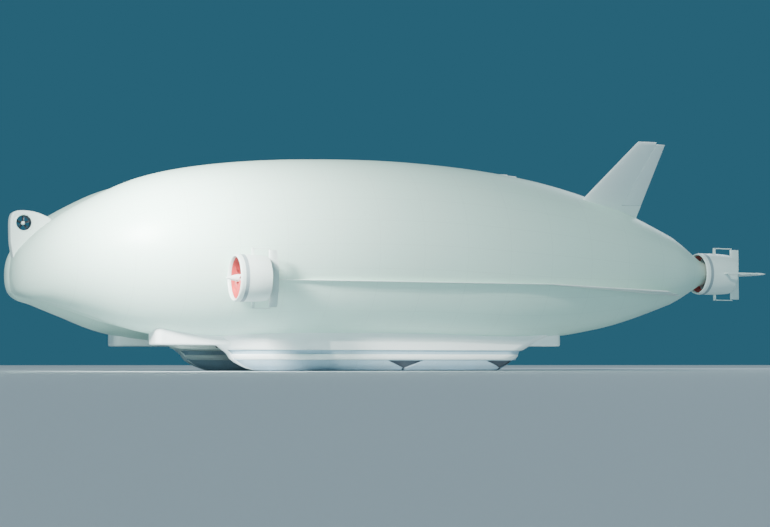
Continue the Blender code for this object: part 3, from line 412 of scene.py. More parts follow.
# %% [markdown]
# ## Finishes
# The hull is cloth with a white coat of film, so it is a little glossy and shows its threads only from
# close by. The skids' bags are rubbered cloth. The ducts, strakes and crew door are painted panels, the
# cabin and the stabilisers show the joints between their panels, and the fins and skids have a lighter
# copy of the panel paint, which paints in the extra light that falls on them. The blades are red, the
# band behind each duct's lip is grey, and the motors are bare dark metal. One function builds all the
# finishes, layer by layer: stains first, then seams, then painted shade from a mask, then dust.


# %% Build a material from a base colour and the shared effects
ROUGHNESS_SPREAD, SEAM_DEPTH, SEAM_SHADE = 0.14, 2.0, 0.4
DUST_COLOUR, DUST_ROUGHNESS = (0.30, 0.28, 0.25), 0.3


def darkened(tree, result, share, colour):
    """The colour so far, mixed towards another one where a mask is high."""
    mixed = node(tree, "ShaderNodeMix", {"data_type": "RGBA"}, i0=share)
    tree.links.new(result, mixed.inputs[6])
    mixed.inputs[7].default_value = (*colour, 1.0)
    return mixed.outputs[2]


def finish(name, colour, roughness, mottle=0.02, grain=0.02, threads=0.0, dust=0.0, metallic=0.0,
           coat=0.0, seams=(), seam_dark=0.1, mask=None, mask_shade_colour=None):
    """A Principled material: mottled colour, seams, painted shade from a mask, dust, and a bump of grain.

    seams is a list of (UV direction, spacing, width) in the UV's metres.
    """
    made = bpy.data.materials.new(name)
    made.use_nodes = True
    made.diffuse_color = (*colour, 1.0)
    tree = made.node_tree
    shader = tree.nodes["Principled BSDF"]
    shader.inputs["Metallic"].default_value = metallic
    shader.inputs["Coat Weight"].default_value = coat
    effect = node(tree, "ShaderNodeGroup", {"node_tree": WEATHER})
    cloud, height = effect.outputs["Cloud"], effect.outputs["Grain"]
    mixed = node(tree, "ShaderNodeMix", {"data_type": "RGBA"}, i0=cloud)
    mixed.inputs[6].default_value = (*(channel * (1 - mottle) for channel in colour), 1.0)
    mixed.inputs[7].default_value = (*(min(channel * (1 + mottle), 1) for channel in colour), 1.0)
    result = mixed.outputs[2]
    rough = node(tree, "ShaderNodeMath", {"operation": "MULTIPLY_ADD"},
                 i0=cloud, i1=ROUGHNESS_SPREAD, i2=roughness - ROUGHNESS_SPREAD / 2).outputs[0]
    if threads:
        weave = node(tree, "ShaderNodeGroup", {"node_tree": THREADS})
        raised = math_node(tree, "MULTIPLY", weave.outputs["Height"], threads)
        height = math_node(tree, "ADD", height, raised)
    if seams:
        uv = node(tree, "ShaderNodeUVMap", {"uv_map": "Surface"})
        axes = node(tree, "ShaderNodeSeparateXYZ", None, Vector=uv.outputs["UV"])
        lines = None
        for direction, spacing, width in seams:
            line = node(tree, "ShaderNodeGroup", {"node_tree": SEAMS},
                        Value=axes.outputs[direction], Spacing=spacing, Width=width)
            line = line.outputs["Line"]
            lines = line if lines is None else math_node(tree, "MAXIMUM", lines, line)
        share = math_node(tree, "MULTIPLY", lines, seam_dark)
        result = darkened(tree, result, share, [channel * SEAM_SHADE for channel in colour])
        height = math_node(tree, "SUBTRACT", height, math_node(tree, "MULTIPLY", lines, SEAM_DEPTH))
    # A mask paints shade in: the colour is mixed towards a dark one where the mask is high.
    if mask:
        given = node(tree, "ShaderNodeAttribute", {"attribute_name": mask})
        result = darkened(tree, result, given.outputs["Fac"], mask_shade_colour)
    if dust:
        film = node(tree, "ShaderNodeGroup", {"node_tree": DUST}).outputs["Dust"]
        film = math_node(tree, "MULTIPLY", film, dust)
        result = darkened(tree, result, film, DUST_COLOUR)
        dulled = math_node(tree, "MULTIPLY", film, DUST_ROUGHNESS)
        rough = math_node(tree, "ADD", rough, dulled, clamp=True)
    tree.links.new(result, shader.inputs["Base Color"])
    tree.links.new(rough, shader.inputs["Roughness"])
    bump = node(tree, "ShaderNodeBump", None, Height=height, Strength=grain, Distance=0.01)
    tree.links.new(bump.outputs["Normal"], shader.inputs["Normal"])
    return made


# %% Mix the finishes
# Metres between the hull's seams, along it and round it
CLOTH_LENGTH, CLOTH_WIDTH = 0.70, 0.32
hull_fabric = finish("hull_fabric", (0.62, 0.85, 0.74), 0.42, mottle=0.015, grain=0.03, threads=0.15,
                     seams=((0, CLOTH_LENGTH, 0.006), (1, CLOTH_WIDTH, 0.005)), seam_dark=0.16)
painted_panel = finish("painted_panel", (0.76, 0.90, 0.84), 0.34, mottle=0.02, dust=0.3, coat=0.15)
# A lighter copy of the panel paint: it paints in the extra light that falls on the fins, sponsons, rub rails
# and stem guards.
painted_light_panel = finish("painted_light_panel", (0.91, 0.97, 0.94), 0.34, mottle=0.02, dust=0.2, coat=0.15)
jointed_panel = finish("jointed_panel", (0.80, 0.87, 0.82), 0.36, mottle=0.02, dust=0.35, coat=0.15,
                       seams=((0, 0.30, 0.003), (1, 0.30, 0.003)), seam_dark=0.45)
# The gap mask paints nearly black shade into the gaps between the bags.
skirt_fabric = finish("skirt_fabric", (0.40, 0.56, 0.66), 0.60, mottle=0.05, grain=0.12, threads=0.5,
                      dust=0.5, seams=((1, 0.42, 0.006),), seam_dark=0.25,
                      mask="gap", mask_shade_colour=(0.05, 0.07, 0.10))
blade_paint = finish("blade_paint", (0.66, 0.08, 0.08), 0.38, mottle=0.03, coat=0.2)
duct_band = finish("duct_band", (0.30, 0.38, 0.40), 0.45, mottle=0.04)
dark_metal = finish("dark_metal", (0.10, 0.11, 0.12), 0.42, mottle=0.08, grain=0.05, metallic=0.7)
glazing = finish("glazing", (0.012, 0.016, 0.02), 0.10, mottle=0.0, grain=0.0, coat=0.5)
print("finishes:", ", ".join(sorted(made.name for made in bpy.data.materials)))

# %% [markdown]
# ## Hull
# The real hull is a balloon of laminated cloth, kept in shape by the gas inside it. Inner curtains pull
# it in along its length, so that its section is two big circles with a narrow lobe between them. One
# surface could be bent into that shape, but three closed bodies that overlap are easier to read and to
# change, and they cross along the very lines where the curtains hold the skin.
# The table is read against the square root of the distance back. That turns the blunt nose into a
# smooth round cap, because a sphere's radius also grows with the square root near its tip.

# %% The two long lobes
# Back from the nose, sideways, up from the floor, radius
LOBE_ROWS = np.array([
    (0.00, 0.20, 1.420, 0.004), (0.05, 0.28, 1.430, 0.26), (0.20, 0.44, 1.480, 0.42),
    (0.48, 0.68, 1.580, 0.59), (0.95, 0.90, 1.650, 0.82), (1.70, 1.03, 1.695, 1.12),
    (2.70, 1.09, 1.740, 1.29), (4.10, 1.10, 1.820, 1.34), (5.90, 1.10, 1.830, 1.35),
    (7.70, 1.16, 1.740, 1.27), (9.10, 1.30, 1.660, 0.99), (10.20, 1.46, 1.600, 0.57),
    (10.50, 1.53, 1.575, 0.38), (10.70, 1.57, 1.560, 0.235), (10.90, 1.60, 1.550, 0.15),
])


def against_root(table):
    """The same table with its first column replaced by its square root."""
    changed = table.copy()
    changed[:, 0] = np.sqrt(table[:, 0])
    return changed


def lobe(side, rows=130, columns=112, strips=24):
    """Circles set one behind another along the ship, their middles swung out and in as they go.

    Strips of cloth share the circle evenly, so they narrow towards both ends.
    """
    root = np.linspace(0, math.sqrt(LOBE_ROWS[-1, 0]), rows)
    across, up, radius = curve_through(against_root(LOBE_ROWS), root).T[:, :, None]
    angle = np.linspace(0, 2 * np.pi, columns, endpoint=False)
    rings = np.stack([
        np.repeat((root**2 - MIDDLE)[:, None], columns, axis=1),
        side * (across + radius * np.cos(angle)),
        up + radius * np.sin(angle),
    ], axis=-1)
    return grid(rings, along=root**2, around=np.linspace(0, strips * CLOTH_WIDTH, columns + 1))


for word, side in SIDES:
    made = piece(f"hull_lobe_{word}", [lobe(side)], hull_fabric, stands_for=["envelope"])
print("points in each lobe:", len(made.data.vertices))

# %% The narrow lobe between them
# Back from the nose, up from the floor, half width, half height
MIDDLE_ROWS = np.array([
    (0.02, 1.420, 0.02, 0.01), (0.06, 1.430, 0.26, 0.25), (0.20, 1.480, 0.36, 0.40),
    (0.48, 1.580, 0.44, 0.56), (0.95, 1.650, 0.50, 0.77), (1.70, 1.695, 0.54, 1.04),
    (2.70, 1.740, 0.56, 1.20), (4.10, 1.820, 0.57, 1.25), (5.90, 1.830, 0.57, 1.26),
    (7.70, 1.740, 0.56, 1.17), (8.90, 1.680, 0.50, 0.90), (9.60, 1.650, 0.36, 0.58),
    (9.90, 1.640, 0.20, 0.32), (10.0, 1.635, 0.03, 0.05),
])


def middle_lobe(rows=110, columns=80, strips=16):
    """Ellipses instead of circles: half width times the cosine, half height times the sine."""
    low, high = np.sqrt(MIDDLE_ROWS[[0, -1], 0])
    root = np.linspace(low, high, rows)
    up, half_width, half_height = curve_through(against_root(MIDDLE_ROWS), root).T[:, :, None]
    angle = np.linspace(0, 2 * np.pi, columns, endpoint=False)
    rings = np.stack([
        np.repeat((root**2 - MIDDLE)[:, None], columns, axis=1),
        half_width * np.cos(angle),
        up + half_height * np.sin(angle),
    ], axis=-1)
    return grid(rings, along=root**2, around=np.linspace(0, strips * CLOTH_WIDTH, columns + 1))


made = piece("hull_middle_lobe", [middle_lobe()], hull_fabric, stands_for=["envelope"])
print("points in the middle lobe:", len(made.data.vertices))

# %% [markdown]
# ## Strakes and stabilisers
# A thin ledge runs along the hull's widest line. It makes the air part cleanly there, and towards the
# tail it widens into a tailplane. Its section is a flat wedge with a round outer edge, so a ring of
# eleven points is enough, repeated along the ship. The elevator sits in a notch in the rear edge.

# %% The section of the ledge
CHINE_HEIGHT = 1.30
STRAKE_FRONT, STRAKE_REAR, STRAKE_INNER, STRAKE_THICKNESS = 3.30, 7.70, 2.10, 0.036
STABILISER_REAR, STABILISER_TIP, STABILISER_FALL = 10.25, 9.60, 0.045
# The outer edge's thickness as a share of the root's
EDGE_SHARE = 0.35
# Metres left between pieces that touch
TOUCH = 0.0003
# Outer edge: back from the nose, sideways
CHINE_EDGE = ((3.30, 2.325), (4.10, 2.40), (5.90, 2.43), (7.70, 2.46), (8.80, 2.53), (9.60, 2.60))
# Stabiliser: back from the nose, root's place sideways, thickness
STABILISER_ROWS = ((7.70, 1.95, 0.036), (8.20, 1.90, 0.050), (9.00, 1.80, 0.060),
                   (9.60, 1.70, 0.060), (10.25, 1.50, 0.030))
TRAILING_ROOT = 1.86


def chine_height(back):
    """The strake lies level, and the stabiliser falls slightly towards the tail."""
    return CHINE_HEIGHT - np.maximum(back - STRAKE_REAR, 0.0) * STABILISER_FALL


def chine_rings(side, back, inner, outer, thickness):
    """Wedge sections: two points at the root, then a half circle round the thin outer edge."""
    edge = thickness * EDGE_SHARE / 2
    turn = np.linspace(-np.pi / 2, np.pi / 2, 9)
    arc_out = (outer - edge)[:, None] + edge[:, None] * np.cos(turn)
    arc_up = edge[:, None] * np.sin(turn)
    out = np.concatenate([inner[:, None], arc_out, inner[:, None]], axis=1)
    rise = np.concatenate([-thickness[:, None] / 2, arc_up, thickness[:, None] / 2], axis=1)
    length = np.repeat((back - MIDDLE)[:, None], out.shape[1], axis=1)
    return np.stack([length, side * out, chine_height(back)[:, None] + rise], axis=-1)


def chine_edge(back):
    """How far out the edge stands, read from its table."""
    return curve_through(CHINE_EDGE, back)[:, 0]


def strake(side):
    """The ledge ahead of the stabiliser, of one thickness all along."""
    back = np.linspace(STRAKE_FRONT, STRAKE_REAR - TOUCH, 60)
    inner, thickness = np.full_like(back, STRAKE_INNER), np.full_like(back, STRAKE_THICKNESS)
    rings = chine_rings(side, back, inner, chine_edge(back), thickness)
    return grid(rings, along=back)


def stabiliser(side):
    """The widening ledge: along its table to the tip, then straight in along the trailing edge."""
    back = np.concatenate([np.linspace(STRAKE_REAR, STABILISER_TIP, 44),
                           np.linspace(STABILISER_TIP, STABILISER_REAR, 20)[1:]])
    inner, thickness = curve_through(STABILISER_ROWS, back).T
    ends = (CHINE_EDGE[-1][1], TRAILING_ROOT)
    slanted = np.interp(back, (STABILISER_TIP, STABILISER_REAR), ends)
    outer = np.where(back > STABILISER_TIP, slanted, chine_edge(np.minimum(back, STABILISER_TIP)))
    rings = chine_rings(side, back, inner, outer, thickness)
    return grid(rings, along=back, around=np.linspace(0, 1.6, rings.shape[1] + 1))


# %% [markdown]
# ## Control surfaces
# Elevators and rudders turn on a round bar that small knuckles hold. Such a flap could be the rear
# part of a wing section, cut off straight, but a straight cut would open a wedge as soon as the flap
# turns. So its front is a half circle round the bar, which keeps the same narrow gap at every angle,
# and plain blocks bridge that gap as knuckles.

# %% Hinged rear parts
# Radius of a hinge's round bar, gap round it, half thickness of a trailing edge
BARREL, SWING_GAP, TRAILING_HALF = 0.016, 0.006, 0.004
KNUCKLE_HALF_LONG, KNUCKLE_HALF_HIGH, KNUCKLE_REACH = 0.015, 0.010, 0.02


def flap(hinge, trailing, through):
    """A control surface over two rows of points, its hinge line and its trailing edge.

    Each section is a half circle round the hinge, flat sides, and a small half circle at the rear.
    """
    hinge, trailing = (np.asarray(line, float)[:, None, :] for line in (hinge, trailing))
    aft = trailing - hinge
    aft /= np.linalg.norm(aft, axis=2, keepdims=True)
    through = np.asarray(through, float)
    nose = np.linspace(np.pi / 2, 3 * np.pi / 2, 15)[None, :, None]
    tail = np.linspace(-np.pi / 2, np.pi / 2, 5)[None, :, None]
    front = hinge + BARREL * (np.cos(nose) * aft + np.sin(nose) * through)
    rear = trailing + TRAILING_HALF * ((np.cos(tail) - 1) * aft + np.sin(tail) * through)
    along = np.linalg.norm(hinge[:, 0] - hinge[0, 0], axis=1)
    return grid(np.concatenate([front, rear], axis=1), along=along,
                around=np.linspace(0, 0.7, 21))


def knuckle(place):
    """A block that carries a hinge: local X along the hinge line, local Y from the bar forwards."""
    return block((place - KNUCKLE_HALF_LONG, BARREL + TOUCH, -KNUCKLE_HALF_HIGH),
                 (place + KNUCKLE_HALF_LONG, BARREL + SWING_GAP + KNUCKLE_REACH, KNUCKLE_HALF_HIGH))


# %% Strakes, stabilisers and elevators
# Ends and knuckles are measured along the trailing edge from the stabiliser's tip
ELEVATOR_CHORD, ELEVATOR_ENDS, ELEVATOR_KNUCKLES = 0.26, (0.04, 0.50), (0.10, 0.27, 0.44)


def elevator_frames(side):
    """Matrices at the trailing edge and at the hinge line: local X runs inwards, local Y forwards."""
    tip = Vector(at(STABILISER_TIP, side * CHINE_EDGE[-1][1], chine_height(STABILISER_TIP)))
    root = Vector(at(STABILISER_REAR, side * TRAILING_ROOT, chine_height(STABILISER_REAR)))
    edge = frame_of(tip, root - tip, (0, 0, -side))
    return edge, edge @ Matrix.Translation((0, ELEVATOR_CHORD, 0))


notch = block((ELEVATOR_ENDS[0] - SWING_GAP, -1.3, -0.2),
              (ELEVATOR_ENDS[1] + SWING_GAP, BARREL + SWING_GAP, 0.2))
for word, side in SIDES:
    edge_frame, hinge_frame = elevator_frames(side)
    piece(f"strake_skin_{word}", [strake(side)], painted_panel, stands_for=[f"strake_{word}"])
    piece(f"stabiliser_skin_{word}", [stabiliser(side)], jointed_panel,
          stands_for=[f"stabiliser_{word}"], holes=[placed(notch, hinge_frame)])
    piece(f"elevator_knuckles_{word}", [placed(knuckle(x), hinge_frame) for x in ELEVATOR_KNUCKLES],
          painted_panel, stands_for=[f"stabiliser_{word}"])
    inwards = np.linspace(*ELEVATOR_ENDS, 12)
    bar = np.stack([inwards, 0 * inwards + ELEVATOR_CHORD, 0 * inwards], axis=-1)
    piece(f"elevator_skin_{word}", [placed(flap(bar, bar * (1, 0, 1), UP), edge_frame)],
          painted_panel, body=f"elevator_{word}", stands_for=[f"elevator_{word}"])
print("strakes, stabilisers and elevators done")

# %% [markdown]
# ## Fins
# The two fins lean outwards from the tops of the lobes. A wing section is thick near its front and
# thin at its back, by the usual four-digit formula. The rear part of each fin is a rudder that turns
# on a round bar, so above its foot the fin stops short of that bar. The same ring of points serves both
# heights: on the foot its last points reach the trailing edge, and above it they fold on to the flat
# rear face.

# %% The fin's numbers
FIN_ROOT, FIN_ROOT_CHORD = np.array((8.41, 1.62, 2.45)), 1.21
FIN_TIP, FIN_TIP_CHORD = np.array((9.09, 2.60, 3.50)), 0.48
FIN_ROOT_THICKNESS, FIN_TIP_THICKNESS = 0.09, 0.045
RUDDER_SHARE, RUDDER_START, RUDDER_END = 0.30, 0.15, 0.97
RUDDER_KNUCKLES = (0.22, 0.55, 0.88)
FIN_FOOT, FOOT_GAP, FIN_ROUNDING = -0.12, 0.009, 0.965


def fin_frame(side):
    """Matrix for the fin: local X aft, local Y through the thickness, local Z up the span."""
    span = Vector((0, side * (FIN_TIP[1] - FIN_ROOT[1]), FIN_TIP[2] - FIN_ROOT[2]))
    up = span.normalized()
    first = Vector(AFT)
    turn = Matrix((first, up.cross(first), up)).transposed().to_4x4()
    root = Vector(at(FIN_ROOT[0], side * FIN_ROOT[1], FIN_ROOT[2]))
    return Matrix.Translation(root) @ turn, span.length


def fin_numbers(share):
    """Leading edge, chord and thickness at shares of the span."""
    lead = share * (FIN_TIP[0] - FIN_ROOT[0])
    chord = FIN_ROOT_CHORD + share * (FIN_TIP_CHORD - FIN_ROOT_CHORD)
    thickness = FIN_ROOT_THICKNESS + share * (FIN_TIP_THICKNESS - FIN_ROOT_THICKNESS)
    return lead, chord, thickness


def fin(length, front_points=24):
    """Wing sections up the span, whole on the foot and cut off above it, with a rounded tip.

    Near the tip the thickness follows a quarter circle down to nearly nothing.
    """
    foot_top = RUDDER_START - FOOT_GAP / length
    foot = np.linspace(FIN_FOOT, foot_top, 6)
    tip = FIN_ROUNDING + (1 - FIN_ROUNDING) * np.sin(np.linspace(0.2, np.pi / 2, 8))
    share = np.concatenate([foot, np.linspace(foot_top, FIN_ROUNDING, 30), tip])
    whole = (np.arange(len(share)) < len(foot))[:, None]
    lead, chord, thickness = (value[:, None] for value in fin_numbers(share))
    cut = 1 - RUDDER_SHARE - (BARREL + SWING_GAP) / chord
    step = np.linspace(0, 1, 8)[None, 1:]
    s = np.concatenate([np.linspace(0, 1, front_points) ** 1.7 * cut,
                        np.where(whole, cut + (1 - cut) * step, cut)], axis=1)
    half = wing_half(s) * thickness
    half = np.where(s > 0.5, np.maximum(half, TRAILING_HALF), half)
    half[:, front_points:] *= np.where(whole, 1, 1 - step)
    out = np.clip((share[:, None] - FIN_ROUNDING) / (1 - FIN_ROUNDING) * 0.995, 0, 1)
    half *= np.sqrt(1 - out**2)
    x = lead + chord * np.concatenate([s, s[:, :0:-1]], axis=1)
    y = np.concatenate([half, -half[:, :0:-1]], axis=1)
    z = np.repeat((share * length)[:, None], x.shape[1], axis=1)
    return grid(np.stack([x, y, z], axis=-1), along=share * length)


def rudder_lines(share, length):
    """The rudder's hinge line and its trailing edge in the fin's own frame."""
    lead, chord, _ = fin_numbers(share)
    through, up = 0 * share, share * length
    return (np.stack([lead + chord * (1 - RUDDER_SHARE), through, up], axis=-1),
            np.stack([lead + chord, through, up], axis=-1))


# %% Fins and rudders
for word, side in SIDES:
    place, length = fin_frame(side)
    bar, trailing = rudder_lines(np.linspace(RUDDER_START, RUDDER_END, 20), length)
    bar_foot, bar_top = Vector(bar[0]), Vector(bar[-1])
    hinge_line = place @ frame_of(bar_foot, bar_top - bar_foot, (0, -1, 0))
    scale = (bar_top - bar_foot).length / (RUDDER_END - RUDDER_START)
    parts = [placed(knuckle((share - RUDDER_START) * scale), hinge_line) for share in RUDDER_KNUCKLES]
    piece(f"fin_skin_{word}", [placed(fin(length), place)], painted_light_panel,
          stands_for=[f"fin_{word}"])
    piece(f"rudder_knuckles_{word}", parts, dark_metal, stands_for=[f"fin_{word}"])
    piece(f"rudder_skin_{word}", [placed(flap(bar, trailing, (0, 1, 0)), place)], painted_light_panel,
          body=f"rudder_{word}", stands_for=[f"rudder_{word}"])
print("fins and rudders done")

# %% [markdown]
# ## Landing skids
# Each skid is a long white sponson with an air cushion below it. A row of bags makes the skirt that
# holds the air in, and a rub rail guards its upper edge. In plan a level is like a boat: a narrow stem,
# sides that flare aft, and a round stern. So a level needs only its height, its two ends and its half
# width. A white guard runs down the raked stem from the deck to the sole, and its white paints in the
# highlight along the lit stem.

# %% Plan outlines of the skid's levels
SKID_SIDE = 1.23
STEM_SHARE, PROW_SHARE, STERN_SHARE, FLARE = 0.22, 2.0, 0.9, 1.8


def plan_rings(levels, middle, between=2, stern_points=21):
    """Boat-shaped outlines, one per level, all with the same number of points.

    The stern is half an ellipse. Over a prow twice as long as the half width, the sides open from the
    stem by the curve 1 - (1 - share) ** 1.8, raised to 1 / 1.8. Points are added evenly along the two
    long sides, so that a side can be pressed in or puffed out later.
    """
    up, front, rear, half = np.asarray(levels, float).T[:, :, None]
    turn = np.linspace(-np.pi / 2, np.pi / 2, stern_points)
    share = np.linspace(1, 0, 20) ** 2.2
    opened = (1 - (1 - share) ** FLARE) ** (1 / FLARE)
    stern = rear + STERN_SHARE * half * (np.cos(turn) - 1)
    prow = front + PROW_SHARE * half * share
    step = np.linspace(0, 1, between + 2)[1:-1]
    side = stern[:, -1:] + step * (prow[:, :1] - stern[:, -1:])
    one_side = np.concatenate([side, prow], axis=1)
    width = half * np.concatenate([np.ones(between), STEM_SHARE + (1 - STEM_SHARE) * opened])
    back = np.concatenate([stern, one_side, one_side[:, ::-1]], axis=1)
    out = np.concatenate([half * np.sin(turn), width, -width[:, ::-1]], axis=1)
    return np.stack([back - MIDDLE, middle + out, np.repeat(up, out.shape[1], axis=1)], axis=-1)


def around_plan(rings):
    """Metres along the widest outline, which serve as the UV round a skid."""
    ring = rings[len(rings) // 2]
    steps = np.linalg.norm(np.roll(ring, -1, axis=0) - ring, axis=1)
    return np.concatenate([[0], np.cumsum(steps)])


# %% Sponsons
# Height, front, rear, half width: first the rounded lower edge, then the sides
DECK_EDGE_LEVELS = np.array([
    (0.3100, 2.935, 7.715, 0.365), (0.3115, 2.928, 7.722, 0.372), (0.3160, 2.920, 7.730, 0.3775),
])
DECK_LEVELS = np.array([
    (0.310, 2.92, 7.73, 0.380), (0.420, 2.76, 7.93, 0.365),
    (0.505, 2.62, 8.12, 0.345), (0.660, 2.30, 8.50, 0.300),
])
DECK_SIDES_START = 0.322
FAIRING_FRONT, FAIRING_REAR, FAIRING_HALF, FAIRING_CORNER = 1.84, 8.35, 0.250, 0.10
# Height, how far the fairing's outline is drawn in there
FAIRING_LEVELS = ((0.380, 0.030), (0.383, 0.016), (0.392, 0.005), (0.405, 0.001),
                  (0.420, 0.0), (0.700, 0.0))


def sponson(middle):
    """Levels read from the table as a curve, above the narrower levels of the rounded edge."""
    up = np.linspace(DECK_SIDES_START, DECK_LEVELS[-1, 0], 16)
    sides = np.column_stack([up, curve_through(DECK_LEVELS, up)])
    levels = np.concatenate([DECK_EDGE_LEVELS, sides])
    rings = plan_rings(levels, middle)
    return grid(rings, along=levels[:, 0], around=around_plan(rings))


def sponson_fairing(middle):
    """The long shallow box that joins the sponson to the lobe above it, softly rounded below."""
    half_long = (FAIRING_REAR - FAIRING_FRONT) / 2
    centre = ((FAIRING_FRONT + FAIRING_REAR) / 2 - MIDDLE, middle)
    rings = []
    for height, less in FAIRING_LEVELS:
        plan = rounded_rectangle(half_long - less, FAIRING_HALF - less, FAIRING_CORNER - less)
        rings.append(np.column_stack([plan + centre, np.full(len(plan), height)]))
    rings = np.array(rings)
    return grid(rings, along=rings[:, 0, 2], around=around_plan(rings))


for word, side in SIDES:
    piece(f"sponson_{word}", [sponson(side * SKID_SIDE), sponson_fairing(side * SKID_SIDE)],
          painted_light_panel, stands_for=[f"skid_deck_{word}"])
print("sponsons done")

# %% [markdown]
# ## Skirts
# The skirt is made of rubbered bags that the air below the skid blows up. They could be modelled one by
# one, but from a step away only the tapered gaps between them show. So each skirt is one surface that
# is pressed in at the gaps. The mask that presses it in is kept on the mesh, and the finish reads it
# again to paint nearly black shade into the same places, so shape and colour always agree.

# %% Skirts with the tapered gaps between their bags
# Height, front, rear, half width: first the bag, then the neck above it
SKIRT_LEVELS = np.array([
    (0.000, 3.42, 7.30, 0.215), (0.028, 3.33, 7.36, 0.285),
    (0.080, 3.20, 7.45, 0.350), (0.163, 3.08, 7.56, 0.390),
])
NECK_LEVELS = np.array([(0.166, 3.05, 7.62, 0.350), (0.3097, 2.98, 7.69, 0.350)])
NOTCH_PLACES, NOTCH_DEPTH, NOTCH_RAMP = (5.65, 7.27), 0.045, 0.020
# Height, half width of a gap
NOTCH_SHAPE = np.array([(0.014, 0.03), (0.050, 0.03), (0.155, 0.28)])
# The gap's lowest and highest point, and the height over which it fades there
NOTCH_LOW, NOTCH_HIGH, NOTCH_FADE = 0.012, 0.159, 0.008
# How far from the skid's middle line the gap starts, and the width over which it fades in
NOTCH_INNER, NOTCH_INNER_FADE = 0.12, 0.04


def notch_mask(points, middle):
    """1 inside an inverted triangle with a short stem, falling to 0 at its edges.

    It is how far a point lies inside the gap's side, divided by the width of the ramp and held
    between 0 and 1, times the same kind of ramp at the gap's bottom, top and inner end.
    """
    back, out, up = points[..., 0] + MIDDLE, np.abs(points[..., 1] - middle), points[..., 2]
    half = np.interp(up, NOTCH_SHAPE[:, 0], NOTCH_SHAPE[:, 1])
    inside = np.zeros_like(up)
    for place in NOTCH_PLACES:
        inside = np.maximum(inside, np.clip((half - np.abs(back - place)) / NOTCH_RAMP, 0, 1))
    above = np.clip((up - NOTCH_LOW) / NOTCH_FADE, 0, 1)
    below = np.clip((NOTCH_HIGH - up) / NOTCH_FADE, 0, 1)
    return inside * above * below * np.clip((out - NOTCH_INNER) / NOTCH_INNER_FADE, 0, 1)


def skirt(middle):
    """The bag's levels read as a curve, pressed in at the gaps, with a narrow neck above it."""
    up = np.linspace(0.0, SKIRT_LEVELS[-1, 0], 26)
    bag = np.column_stack([up, curve_through(SKIRT_LEVELS, up)])
    levels = np.concatenate([bag, NECK_LEVELS])
    rings = plan_rings(levels, middle, between=200, stern_points=101)
    # The same mask presses the gaps in here and paints shade into them in the finish.
    mask = notch_mask(rings, middle)
    rings[..., 1] -= np.sign(rings[..., 1] - middle) * NOTCH_DEPTH * mask
    return grid(rings, along=levels[:, 0], around=around_plan(rings)), mask.ravel()


# %% [markdown]
# ## Rub rails and stem guards
# A rail runs round the skid, and a guard runs down its stem, as on a boat that has to take knocks. A
# bevelled bar could be bent along them, but its ends and corners would need care. The rail is instead
# a short stack of the skid's own plan outlines, pushed outwards by a half circle. The guard is a stack
# of flat D shapes that follows the stem's front line.

# %% Rub rails and stem guards
RAIL_MIDDLE, RAIL_HALF, RAIL_BULGE, RAIL_PROUD, RAIL_WIDE = 0.2075, 0.0425, 0.030, 0.005, 0.410
# The rail's front and rear, at its lower and at its upper edge
RAIL_FRONTS, RAIL_REARS = (3.06, 3.00), (7.59, 7.67)
# Height, back from the nose
STEM_LINE = ((0.004, 3.400), (0.028, 3.325), (0.080, 3.195), (0.163, 3.055), (0.2075, 3.015),
             (0.252, 2.985), (0.310, 2.915), (0.420, 2.755), (0.505, 2.615), (0.655, 2.305))
# Height, half width of the guard
STEM_WIDTHS = np.array([(0.004, 0.062), (0.08, 0.090), (0.21, 0.099), (0.31, 0.095), (0.66, 0.076)])
STEM_PROUD, STEM_SUNK = 0.012, 0.030


def rub_rail(middle):
    """A rounded rail right round the skid: half a circle from its lower edge to its upper one."""
    turn = np.linspace(-np.pi / 2, np.pi / 2, 11)
    up = RAIL_MIDDLE + RAIL_HALF * np.sin(turn)
    bulge = RAIL_BULGE * (np.cos(turn) - 1) + RAIL_PROUD
    edges = (RAIL_MIDDLE - RAIL_HALF, RAIL_MIDDLE + RAIL_HALF)
    front, rear = np.interp(up, edges, RAIL_FRONTS), np.interp(up, edges, RAIL_REARS)
    rings = plan_rings(np.column_stack([up, front - bulge, rear + bulge, RAIL_WIDE + bulge]), middle)
    return grid(rings, along=up, around=around_plan(rings))


def stem_guard(middle):
    """A rounded strip down the stem, whose front line is read from its table as a curve.

    Each ring is a flat D shape, and its round side stands proud of the stem by the cosine to the
    power 0.4, which makes it rather square.
    """
    up = np.linspace(STEM_LINE[0][0], STEM_LINE[-1][0], 40)
    front = curve_through(STEM_LINE, up)[:, 0][:, None]
    half = np.interp(up, STEM_WIDTHS[:, 0], STEM_WIDTHS[:, 1])[:, None]
    turn = np.linspace(-np.pi / 2, np.pi / 2, 13)
    face = STEM_SUNK - (STEM_SUNK + STEM_PROUD) * np.cos(turn) ** 0.4
    back = np.concatenate([face, [STEM_SUNK, STEM_SUNK]])
    out = np.concatenate([np.sin(turn), [1.0, -1.0]])
    rings = np.stack([front + back - MIDDLE, middle + half * out,
                      np.repeat(up[:, None], len(out), axis=1)], axis=-1)
    return grid(rings, along=up)


for word, side in SIDES:
    part, mask = skirt(side * SKID_SIDE)
    piece(f"skirt_{word}", [part], skirt_fabric, stands_for=[f"skid_skirt_{word}"], masks={"gap": mask})
    piece(f"rub_rail_{word}", [rub_rail(side * SKID_SIDE)], painted_light_panel,
          stands_for=[f"skid_skirt_{word}"])
    # The white stem guard paints in the highlight along the lit stem.
    piece(f"stem_guard_{word}", [stem_guard(side * SKID_SIDE)], painted_light_panel,
          stands_for=[f"skid_skirt_{word}"])
print("skirts, rub rails and stem guards done")

